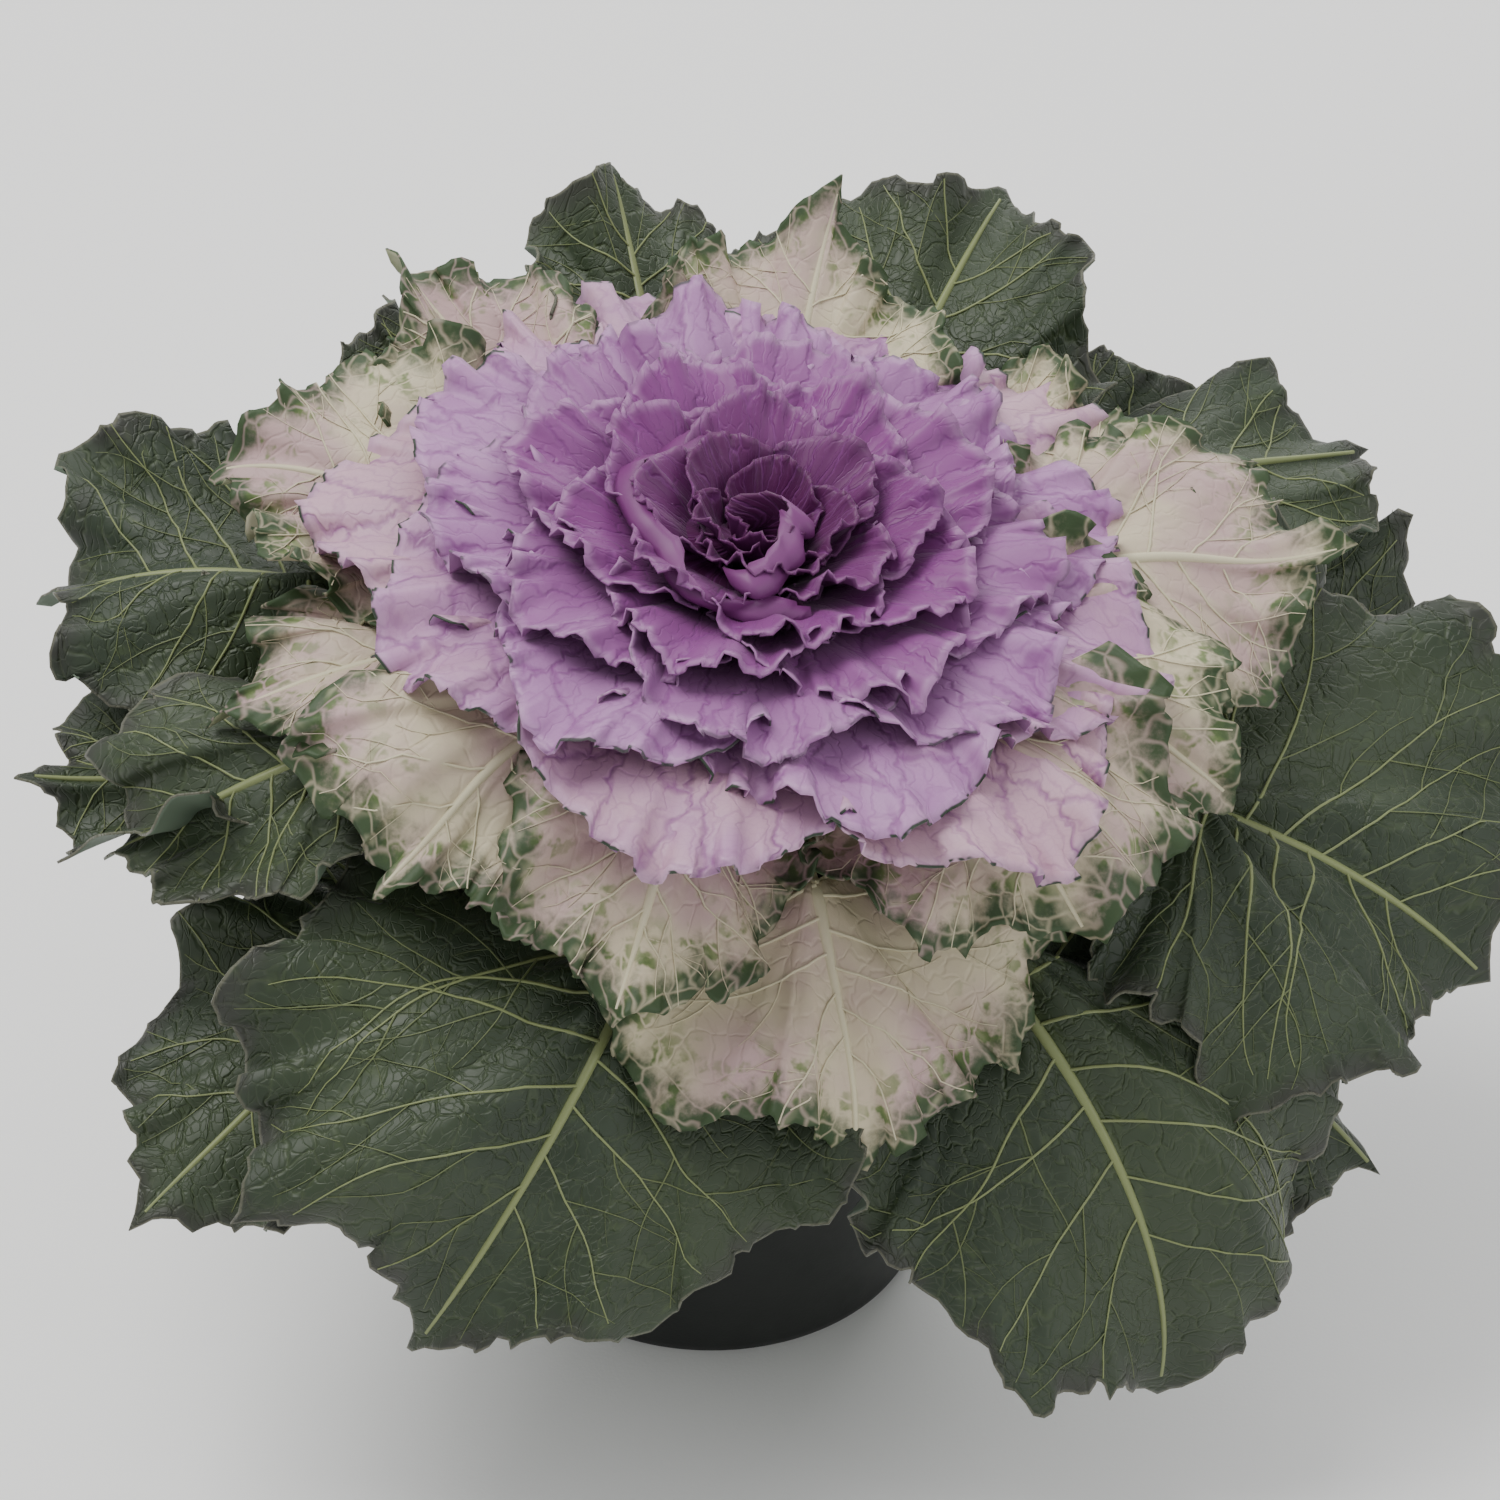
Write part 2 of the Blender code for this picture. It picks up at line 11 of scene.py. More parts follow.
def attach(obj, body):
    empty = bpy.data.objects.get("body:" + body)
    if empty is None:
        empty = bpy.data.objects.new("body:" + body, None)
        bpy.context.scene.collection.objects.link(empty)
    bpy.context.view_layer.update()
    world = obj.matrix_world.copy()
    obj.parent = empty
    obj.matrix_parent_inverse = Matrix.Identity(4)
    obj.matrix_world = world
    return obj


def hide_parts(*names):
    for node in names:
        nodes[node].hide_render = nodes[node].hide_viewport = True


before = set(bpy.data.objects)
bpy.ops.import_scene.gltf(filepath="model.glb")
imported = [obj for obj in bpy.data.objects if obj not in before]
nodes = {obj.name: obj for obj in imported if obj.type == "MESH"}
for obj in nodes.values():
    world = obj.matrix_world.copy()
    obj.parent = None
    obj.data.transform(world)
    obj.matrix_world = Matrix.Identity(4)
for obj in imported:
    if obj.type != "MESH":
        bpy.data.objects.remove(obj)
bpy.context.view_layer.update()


# Studio
# A pale seamless sheet, one broad soft light above and to the left, a weak fill from the
# right, and the photograph's camera, which looks down on the plant from in front.
CAMERA_PLACE = (0.0115, -1.1106, 0.9675)
CAMERA_TILT = 54.5
FIELD = 18.0
SENSOR = 36.0
SHEET_SIZE = 6.0
SHEET_RISE = 1.6
SHEET_SLOPE = 1.5
SHEET_CURVE = 1.2
SHEET_COLOUR = (0.95, 0.95, 0.945)
SKY = 0.85


def deselect():
    bpy.ops.object.select_all(action="DESELECT")


def active():
    return bpy.context.view_layer.objects.active


def join_pieces(pieces):
    """Joins meshes into the first of them."""
    deselect()
    for piece in pieces:
        piece.select_set(True)
    bpy.context.view_layer.objects.active = pieces[0]
    if len(pieces) > 1:
        bpy.ops.object.join()
    return pieces[0]


class Value:
    """A node's output, on which Python's operators add Math nodes."""

    def __init__(self, finish, socket):
        self.finish = finish
        self.socket = socket

    def math(self, operation, other, turned=False):
        pair = (other, self) if turned else (self, other)
        return self.finish.node("ShaderNodeMath", {"operation": operation}, dict(enumerate(pair)))

    def __add__(self, other):
        return self.math("ADD", other)

    def __radd__(self, other):
        return self.math("ADD", other)

    def __sub__(self, other):
        return self.math("SUBTRACT", other)

    def __rsub__(self, other):
        return self.math("SUBTRACT", other, turned=True)

    def __mul__(self, other):
        return self.math("MULTIPLY", other)

    def __rmul__(self, other):
        return self.math("MULTIPLY", other)

    def between(self, low, high):
        """0 below low, 1 above high, and a smooth step from one to the other."""
        settings = {"interpolation_type": "SMOOTHSTEP"}
        inputs = {"Value": self, "From Min": low, "From Max": high}
        return self.finish.node("ShaderNodeMapRange", settings, inputs)


class Finish:
    """A Principled material and the ways to add nodes to it."""

    def __init__(self, name, roughness, **sockets):
        self.material = bpy.data.materials.new(name)
        self.material.use_nodes = True
        self.tree = self.material.node_tree
        self.shader = self.tree.nodes["Principled BSDF"]
        self.set(Roughness=roughness, **sockets)

    def set(self, **sockets):
        for name, value in sockets.items():
            self.feed(self.shader.inputs[name.replace("_", " ")], value)
        return self

    def feed(self, socket, value):
        if isinstance(value, Value):
            self.tree.links.new(value.socket, socket)
        elif isinstance(value, tuple) and len(value) == 3 and socket.type == "RGBA":
            socket.default_value = (*value, 1.0)
        else:
            socket.default_value = value

    def node(self, kind, settings=None, inputs=None, out=0):
        made = self.tree.nodes.new(kind)
        for name, value in (settings or {}).items():
            setattr(made, name, value)
        for name, value in (inputs or {}).items():
            self.feed(made.inputs[name], value)
        return Value(self, made.outputs[out])

    def mix(self, mask, low, high):
        """A colour between two, where the mask runs from 0 to 1."""
        inputs = {0: mask, 6: low, 7: high}
        return self.node("ShaderNodeMix", {"data_type": "RGBA"}, inputs, 2)

    def place(self):
        return self.node("ShaderNodeTexCoord", out="Object")

    def attribute(self, name, out="Fac"):
        return self.node("ShaderNodeAttribute", {"attribute_name": name}, out=out)

    def noise(self, scale, detail=3.0, vector=None, roughness=0.5, distortion=0.0):
        inputs = {"Vector": vector or self.place(), "Scale": scale, "Detail": detail}
        inputs.update({"Roughness": roughness, "Distortion": distortion})
        return self.node("ShaderNodeTexNoise", {}, inputs)

    def swirled(self, vector, scale, reach):
        """A vector that noise pushes about, so that a pattern read from it isn't regular."""
        push = self.node("ShaderNodeTexNoise", {}, {"Vector": vector, "Scale": scale}, "Color")
        settings = {"operation": "MULTIPLY_ADD"}
        return self.node("ShaderNodeVectorMath", settings, {0: push, 1: reach, 2: vector})

    def cell_edges(self, scale, vector):
        settings = {"feature": "DISTANCE_TO_EDGE", "voronoi_dimensions": "2D"}
        return self.node("ShaderNodeTexVoronoi", settings, {"Vector": vector, "Scale": scale})

    def relief(self, height, distance, strength=1.0, under=None):
        inputs = {"Height": height, "Distance": distance, "Strength": strength}
        if under is not None:
            inputs["Normal"] = under
        return self.node("ShaderNodeBump", {}, inputs)


paper = Finish("studio_paper", 0.9, Base_Color=SHEET_COLOUR)
paper_grain = paper.noise(900.0, 2.0)
paper.set(Normal=paper.relief(paper_grain, 0.0002, 0.3))

deselect()
bpy.ops.mesh.primitive_grid_add(x_subdivisions=2, y_subdivisions=60, size=SHEET_SIZE)
sheet = active()
sheet.name = "studio_sheet"
for point in sheet.data.vertices:
    behind = point.co.y - SHEET_RISE
    if behind > 0:
        point.co.z = SHEET_SLOPE * behind * (1 - math.exp(-behind * SHEET_CURVE))
sheet.data.materials.append(paper.material)
bpy.ops.object.shade_smooth()

camera_data = bpy.data.cameras.new("camera")
camera_data.sensor_width = SENSOR
camera_data.lens = SENSOR / 2 / math.tan(math.radians(FIELD / 2))
camera = bpy.data.objects.new("camera", camera_data)
camera.location = CAMERA_PLACE
camera.rotation_euler = (math.radians(CAMERA_TILT), 0.0, 0.0)
bpy.context.collection.objects.link(camera)
bpy.context.scene.camera = camera


def soft_light(name, place, size, watts, colour=(1.0, 1.0, 1.0)):
    """A square panel light that faces the plant."""
    panel = bpy.data.lights.new(name, "AREA")
    panel.size = size
    panel.energy = watts
    panel.color = colour
    lamp = bpy.data.objects.new(name, panel)
    lamp.location = place
    aim = Vector((0.0, 0.0, 0.2)) - Vector(place)
    lamp.rotation_euler = aim.to_track_quat("-Z", "Y").to_euler()
    bpy.context.collection.objects.link(lamp)


soft_light("key_panel", (-0.8, 0.1, 2.0), 1.2, 34.0, (1.0, 0.99, 0.97))
soft_light("fill_panel", (1.5, -0.9, 1.1), 1.4, 9.0)
soft_light("back_panel", (0.5, 1.6, 1.5), 1.2, 14.0)
world = bpy.data.worlds.new("studio_air")
world.use_nodes = True
world.node_tree.nodes["Background"].inputs["Color"].default_value = (SKY, SKY, SKY, 1.0)
world.node_tree.nodes["Background"].inputs["Strength"].default_value = 0.75
bpy.context.scene.world = world


# Pot
# A thin black polypropylene nursery pot, injection moulded, with a stepped rim that lets
# pots be nested, a raised foot ring and drain holes in its floor.
POT_HEIGHT = 0.165
POT_TOP_RADIUS = 0.0825
POT_FOOT_RADIUS = 0.065
POT_WALL = 0.0018
RIM_DEPTH = 0.016
RIM_LIP = 0.0028
DRAIN_HOLES = 6
DRAIN_RADIUS = 0.006
DRAIN_CIRCLE = 0.046
POT_SIDES = 128


def wall_radius(height):
    return POT_FOOT_RADIUS + (POT_TOP_RADIUS - POT_FOOT_RADIUS) * height / POT_HEIGHT


def turn_profile(name, profile, sides):
    """Spins a line of (radius, height) points round the upright axis into one closed skin."""
    deselect()
    bpy.ops.mesh.primitive_plane_add(size=1)
    made = active()
    made.name = name
    bpy.ops.object.mode_set(mode="EDIT")
    bpy.ops.mesh.select_all(action="SELECT")
    bpy.ops.mesh.delete(type="VERT")
    bpy.ops.object.mode_set(mode="OBJECT")
    made.data.vertices.add(len(profile))
    made.data.edges.add(len(profile) - 1)
    for point, (radius, height) in zip(made.data.vertices, profile):
        point.co = (radius, 0.0, height)
    for number, edge in enumerate(made.data.edges):
        edge.vertices = (number, number + 1)
    made.data.update()
    bpy.ops.object.mode_set(mode="EDIT")
    bpy.ops.mesh.select_all(action="SELECT")
    bpy.ops.mesh.spin(steps=sides, angle=math.tau, center=(0, 0, 0), axis=(0, 0, 1))
    bpy.ops.mesh.select_all(action="SELECT")
    bpy.ops.mesh.remove_doubles(threshold=0.00002)
    bpy.ops.mesh.normals_make_consistent(inside=False)
    bpy.ops.object.mode_set(mode="OBJECT")
    return made


rim_step = POT_HEIGHT - RIM_DEPTH
lip = wall_radius(rim_step) + RIM_LIP
lip_top = lip + RIM_LIP / 2
pot = turn_profile(
    "nursery_pot",
    [
        (0.0, POT_WALL),
        (wall_radius(0.0) - 2 * POT_WALL, POT_WALL),
        (wall_radius(rim_step) - POT_WALL, rim_step),
        (lip - POT_WALL, rim_step + RIM_LIP),
        (lip_top - POT_WALL, POT_HEIGHT),
        (lip_top, POT_HEIGHT),
        (lip, rim_step),
        (wall_radius(rim_step), rim_step - POT_WALL),
        (wall_radius(0.0), 2 * POT_WALL),
        (wall_radius(0.0) - POT_WALL, 0.0),
        (0.0, 0.0),
    ],
    POT_SIDES,
)
for number in range(DRAIN_HOLES):
    angle = math.tau * number / DRAIN_HOLES
    spot = (DRAIN_CIRCLE * math.cos(angle), DRAIN_CIRCLE * math.sin(angle), POT_WALL / 2)
    bpy.ops.mesh.primitive_cylinder_add(
        vertices=32, radius=DRAIN_RADIUS, depth=4 * POT_WALL, location=spot
    )
    punch = active()
    bpy.context.view_layer.objects.active = pot
    cut = pot.modifiers.new("drain_hole", "BOOLEAN")
    cut.operation = "DIFFERENCE"
    cut.object = punch
    bpy.ops.object.modifier_apply(modifier=cut.name)
    bpy.data.objects.remove(punch)
soften = pot.modifiers.new("moulded_edges", "BEVEL")
soften.width = 0.0006
soften.segments = 3
soften.angle_limit = math.radians(30)
bpy.ops.object.modifier_apply(modifier=soften.name)
deselect()
pot.select_set(True)
bpy.ops.object.shade_smooth_by_angle(angle=math.radians(40))

plastic = Finish("black_plastic", 0.42, Specular_IOR_Level=0.4)
scuffs = plastic.noise(60.0, 5.0, roughness=0.65)
dust = plastic.noise(9.0, 4.0).between(0.45, 0.75)
plastic.set(
    Base_Color=plastic.mix(dust * 0.5, (0.010, 0.012, 0.011), (0.035, 0.038, 0.034)),
    Roughness=0.36 + scuffs * 0.2 + dust * 0.1,
    Normal=plastic.relief(plastic.noise(1400.0, 2.0), 0.00008, 0.5),
)
pot.data.materials.append(plastic.material)
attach(pot, "root")
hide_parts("pot")


# Potting mix
# Dark moist peat and composted bark, level with the pot's step, heaped a little round the
# stem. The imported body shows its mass, and loose crumbs and bark lie on it.
SOIL_LEVEL = 0.150
CRUMBS = 260
CRUMB_SIZES = (0.0012, 0.0045)
CRUMBS_FROM = 0.018
CRUMBS_TO = 0.072
HEAP = 0.005
HEAP_RADIUS = 0.08

peat = Finish("potting_mix", 0.95)
lumps = peat.noise(240.0, 8.0, roughness=0.7)
fibres = peat.noise(90.0, 3.0).between(0.55, 0.7)
peat.set(
    Base_Color=peat.mix(
        fibres, peat.mix(lumps, (0.006, 0.004, 0.003), (0.030, 0.019, 0.012)), (0.075, 0.045, 0.024)
    ),
    Normal=peat.relief(lumps, 0.003, 0.9),
)
nodes["potting_mix"].data.materials.clear()
nodes["potting_mix"].data.materials.append(peat.material)

dice = np.random.default_rng(71)
deselect()
crumbs = []
for number in range(CRUMBS):
    away = CRUMBS_FROM + (CRUMBS_TO - CRUMBS_FROM) * math.sqrt(dice.random())
    around = dice.uniform(0, math.tau)
    size = dice.uniform(*CRUMB_SIZES)
    level = SOIL_LEVEL + HEAP * (1 - away / HEAP_RADIUS) + size * 0.2
    bpy.ops.mesh.primitive_ico_sphere_add(
        subdivisions=2,
        radius=size,
        location=(away * math.cos(around), away * math.sin(around), level),
        rotation=tuple(dice.uniform(0, math.tau, 3)),
        scale=(1.0, dice.uniform(0.5, 0.9), dice.uniform(0.35, 0.7)),
    )
    crumb = active()
    for point in crumb.data.vertices:
        point.co *= 1 + 0.25 * dice.normal()
    crumbs.append(crumb)
litter = join_pieces(crumbs)
litter.name = "bark_crumbs"
bpy.ops.object.transform_apply(location=True, rotation=True, scale=True)
litter.data.materials.append(peat.material)
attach(litter, "root")


# Stem
# The short woody stalk, as thick as a thumb, pale green and corky, ringed by the scars of
# leaves that were picked off. It leans out over the front of the pot.
STEM_RADIUS = 0.012
STEM_HEIGHT = 0.063
STEM_SUNK = 0.030
LEAN = Vector((0.0156, -0.0210, 0.1180)).normalized()
SCARS = 9
STEM_RINGS = 60

deselect()
bpy.ops.mesh.primitive_cylinder_add(vertices=64, radius=STEM_RADIUS, depth=STEM_HEIGHT + STEM_SUNK)
stem = active()
stem.name = "leaning_stem"
bpy.ops.object.mode_set(mode="EDIT")
bpy.ops.mesh.select_mode(type="EDGE")
bpy.ops.mesh.select_all(action="DESELECT")
bpy.ops.object.mode_set(mode="OBJECT")
for edge in stem.data.edges:
    ends = [stem.data.vertices[i].co for i in edge.vertices]
    edge.select = abs(ends[0].z - ends[1].z) > STEM_HEIGHT / 2
bpy.ops.object.mode_set(mode="EDIT")
bpy.ops.mesh.subdivide(number_cuts=STEM_RINGS)
bpy.ops.mesh.select_mode(type="VERT")
bpy.ops.object.mode_set(mode="OBJECT")
for point in stem.data.vertices:
    around = math.atan2(point.co.y, point.co.x)
    ring = 0.0
    for scar in range(SCARS):
        height = -0.04 + 0.08 * scar / SCARS
        apart = math.remainder(around - scar * 2.4, math.tau)
        ring += math.exp(-((point.co.z - height) ** 2) / 0.0000018 - apart**2 / 0.35)
    shrink = 1 - 0.03 * abs(math.sin(3 * around + 90 * point.co.z)) - 0.06 * min(ring, 1.0)
    point.co.x *= shrink
    point.co.y *= shrink
    point.co.z += (STEM_HEIGHT - STEM_SUNK) / 2
stem.rotation_mode = "QUATERNION"
stem.rotation_quaternion = Vector((0, 0, 1)).rotation_difference(LEAN)
stem.location = (0.0, 0.0, SOIL_LEVEL)
bpy.ops.object.transform_apply(location=True, rotation=True, scale=True)
bpy.ops.object.shade_smooth_by_angle(angle=math.radians(50))
bark = Finish("stem_skin", 0.7)
cork = bark.noise(220.0, 6.0, roughness=0.65)
bark.set(
    Base_Color=bark.mix(cork.between(0.4, 0.7), (0.150, 0.190, 0.080), (0.240, 0.190, 0.120)),
    Normal=bark.relief(cork, 0.0008, 0.6),
)
stem.data.materials.append(bark.material)
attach(stem, "root")
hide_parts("stem")


# Loose lower leaves
# Sixteen big thick leaves, each a fleshy stalk and a broad blade, dark grey-green under a waxy
# bloom, with raised pale veins; the bloom's lighter grey-green patches are partly painted sheen.
# Each is laid out flat as a fan about the point where blade meets stalk, bent down and round the
# stem, and laid where the imported leaf lies.
STALK_HALF_WIDTH = 0.0034
STALK_THICKNESS = 0.0052
WIDEST_TURN = 150
BACK_LOBES = 0.22
UPWARD = 0.5
ROOT_RING = 0.0015
BLADE = 0.00075
VEIN_WIDTH = 0.0017
LOWEST_LAID = 0.0003
HIGHEST_LAID = 0.06
SAME_POINT = 0.00003
ROOT_RADIUS = 0.0038
RIB_RADIUS = 0.0027


class Kind(NamedTuple):
    """What leaves of one colour share: the fan's columns and rings, waves and lobes."""

    columns: int
    rings: tuple
    wave: float
    ruffle: float
    lobe: float
    frill: float
    tooth: float


class Leaf(NamedTuple):
    name: str
    kind: str
    azimuth: float
    foot: float
    reach: float
    stalk: float
    width: float
    rise: float
    fall: float
    sweep: float = 0.0
    roll: float = 0.0
    cup: float = 0.0
    root: float = STEM_RADIUS + 0.0003
    fan: float = 0.0
    seed: int = 1
    age: float = 1.0


KINDS = {
    "green": Kind(18, (1, 1, 1, 1), 0.066, 0.0085, 0.055, 0.0030, 0.0030),
    "cream": Kind(14, (1, 1, 1, 1), 0.056, 0.0065, 0.060, 0.0036, 0.0030),
    "rosette": Kind(8, (4, 2, 1), 0.036, 0.0040, 0.020, 0.0026, 0.0016),
}

GREEN_LEAVES = [
    Leaf("leaf_right", "green", -13, 0.037, 0.212, 0.112, 0.150, 18, -36, roll=33, seed=3),
    Leaf("leaf_front_right", "green", -47, 0.024, 0.197, 0.082, 0.138, 14, -70, seed=4),
    Leaf(
        "leaf_front_left", "green", -103, 0.030, 0.176, 0.070, 0.165, 14, -66, sweep=-10, roll=-14, seed=5
    ),
    Leaf("leaf_low_left", "green", -137, 0.010, 0.192, 0.090, 0.112, 10, -34, seed=6),
    Leaf("leaf_middle_left", "green", -152, 0.034, 0.136, 0.080, 0.068, 16, -50, sweep=-8, seed=7),
    Leaf("leaf_left", "green", -170, 0.018, 0.186, 0.115, 0.085, 16, -16, cup=0.5, seed=8),
    Leaf("leaf_left_upper", "green", 172, 0.028, 0.180, 0.095, 0.100, 16, -24, roll=-25, seed=9),
    Leaf("leaf_left_back", "green", 152, 0.009, 0.186, 0.100, 0.085, 20, -6, sweep=8, seed=10),
    Leaf("leaf_back_left", "green", 127, 0.020, 0.166, 0.095, 0.085, 22, 6, seed=11),
    Leaf("leaf_back", "green", 106, 0.031, 0.164, 0.098, 0.075, 36, 20, seed=12),
    Leaf("leaf_back_right", "green", 66, 0.030, 0.184, 0.092, 0.118, 38, 16, seed=13),
    Leaf("leaf_right_upper", "green", 45, 0.012, 0.192, 0.110, 0.085, 26, 4, seed=14),
    Leaf("leaf_right_back", "green", 30, 0.022, 0.202, 0.108, 0.100, 22, 0, seed=15),
    Leaf("leaf_right_middle", "green", 15, 0.014, 0.214, 0.115, 0.100, 20, -12, seed=16),
    Leaf("leaf_right_lower", "green", 2, 0.026, 0.212, 0.125, 0.080, 12, -16, seed=17),
    Leaf("leaf_low_right", "green", -24, 0.010, 0.202, 0.110, 0.105, 8, -32, seed=18),
]
NEAR_LEAVES = ("leaf_right", "leaf_front_right", "leaf_front_left")
NEAR_MESH = (240, 30, (7, 3))
FAR_MESH = (190, 22, (6, 3))


def margin_distance(leaf, turn):
    """How far the blade's margin is from the blade's foot, at a turn off the midrib."""
    length = leaf.reach - leaf.stalk
    if leaf.fan:
        return length * np.cos(turn * math.radians(90) / math.radians(leaf.fan)) ** 0.25
    half_length = length / 2 * (1 + BACK_LOBES)
    centre = length - half_length
    along, across = np.cos(turn), np.sin(turn)
    square = (along / half_length) ** 2 + (across / (leaf.width / 2)) ** 2
    linear = -2 * along * centre / half_length**2
    rest = (centre / half_length) ** 2 - 1
    return (-linear + np.sqrt(linear**2 - 4 * square * rest)) / (2 * square)


def margin(leaf):
    """A fine list of turns off the midrib and the way along the margin to each."""
    widest = math.radians(0.955 * leaf.fan if leaf.fan else WIDEST_TURN)
    turn = np.linspace(-widest, widest, 721)
    distance = margin_distance(leaf, turn)
    step = np.hypot(np.diff(distance * np.cos(turn)), np.diff(distance * np.sin(turn)))
    return turn, np.concatenate([[0], np.cumsum(step)])


def wander(run, pitch, seed):
    """A slow random drift along the margin that keeps ruffles and lobes uneven."""
    phases = np.random.default_rng(seed).uniform(0, math.tau, 3)
    ratios = (2.9, 1.7, 1.13)
    return sum(np.sin(math.tau * run / (pitch * r) + f) for r, f in zip(ratios, phases)) / 2


def ruffle(leaf, run, inset):
    """Height of the blade's long waves, greatest at the margin and mostly upwards."""
    kind = KINDS[leaf.kind]
    size = min(1.0, leaf.reach / 0.10) if leaf.fan else 1.0
    wave = kind.wave * size
    start = np.random.default_rng(leaf.seed).uniform(0, math.tau)
    phase = math.tau * run / wave + start + wander(run, wave, leaf.seed * 7)
    swell = 1 + 0.35 * wander(run, 1.7 * wave, leaf.seed * 11)
    return kind.ruffle * size * swell * (UPWARD + np.sin(phase)) * np.exp(-inset / (0.55 * wave))


def bend(leaf, x, y, lift):
    """Takes points of the leaf's flat plane, x out from the stem and y across, to their place."""
    steps = np.linspace(-0.02, leaf.reach * 1.15, 90)
    share = np.clip(steps / leaf.reach, 0, 1.15)
    slopes = np.radians(leaf.rise + (leaf.fall - leaf.rise) * share)
    pace = (steps[1] - steps[0]) / 2
    out = np.concatenate([[0], np.cumsum(np.cos(slopes[1:]) + np.cos(slopes[:-1]))]) * pace
    high = np.concatenate([[0], np.cumsum(np.sin(slopes[1:]) + np.sin(slopes[:-1]))]) * pace
    radius = leaf.root + np.interp(x, steps, out) - np.interp(0, steps, out)
    height = leaf.foot + np.interp(x, steps, high) - np.interp(0, steps, high)
    slope = np.interp(x, steps, slopes)
    curve = 1.15 * np.maximum(radius, 0.006) if leaf.fan else 1.4 * np.maximum(radius, 0.03)
    turn = y / curve
    side = y * math.tan(math.radians(leaf.roll))
    if leaf.cup:
        side = side + leaf.cup * y**2 / (leaf.width / 2)
    lift = lift + side * np.clip((x - leaf.stalk * 0.7) / (leaf.reach * 0.2), 0, 1)
    back = lift * np.sin(slope) * np.clip(x / STEM_RADIUS, 0, 1)
    outward = radius - curve * (1 - np.cos(turn)) - back * np.cos(turn)
    sideways = (curve - back) * np.sin(turn)
    upward = height + lift * np.cos(slope)
    azimuth = np.radians(leaf.azimuth + leaf.sweep * np.clip(x / leaf.reach, 0, 1.2) ** 2)
    east = np.array((Vector((1, 0, 0)) - LEAN * LEAN.x).normalized())
    north = np.cross(np.array(LEAN), east)
    radial = np.outer(np.cos(azimuth), east) + np.outer(np.sin(azimuth), north)
    tangent = np.outer(np.cos(azimuth), north) - np.outer(np.sin(azimuth), east)
    place = np.array((0, 0, SOIL_LEVEL)) + np.outer(upward, np.array(LEAN))
    return place + outward[:, None] * radial + sideways[:, None] * tangent


def spline(knots, values, at):
    """A natural cubic spline through rows of values at the knots."""
    count = len(knots)
    step = np.diff(knots)
    system = np.eye(count)
    pull = np.zeros((count, values.shape[1]))
    for i in range(1, count - 1):
        system[i, i - 1 : i + 2] = (step[i - 1], 2 * (step[i - 1] + step[i]), step[i])
        ahead = (values[i + 1] - values[i]) / step[i]
        pull[i] = 3 * (ahead - (values[i] - values[i - 1]) / step[i - 1])
    bow = np.linalg.solve(system, pull)
    spot = np.clip(np.searchsorted(knots, at) - 1, 0, count - 2)
    gap = (at - knots[spot])[:, None]
    width = step[spot][:, None]
    tilt = (values[spot + 1] - values[spot]) / width - width * (2 * bow[spot] + bow[spot + 1]) / 3
    return values[spot] + gap * (tilt + gap * (bow[spot] + gap * (bow[spot + 1] - bow[spot]) / (3 * width)))


def packed_points(name):
    mesh = nodes[name].data
    points = np.empty(len(mesh.vertices) * 3, np.float32)
    mesh.vertices.foreach_get("co", points)
    return points.reshape(-1, 3).astype(float)


def laid_height(leaf, x, y, lift, packed):
    """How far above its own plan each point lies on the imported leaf, and 0 where it is hidden."""
    base = bend(leaf, x, y, lift)
    up = bend(leaf, x, y, lift + 1.0) - base
    apart = packed[None] - base[:, None]
    raised = (apart * up[:, None]).sum(-1) / (up**2).sum(-1)[:, None]
    miss = np.linalg.norm(apart - raised[..., None] * up[:, None], axis=-1)
    miss[(raised < -LOWEST_LAID) | (raised > HIGHEST_LAID)] = 1.0
    best = miss.argmin(axis=1)
    row = np.arange(len(x))
    return np.where(miss[row, best] < SAME_POINT, raised[row, best], np.nan)


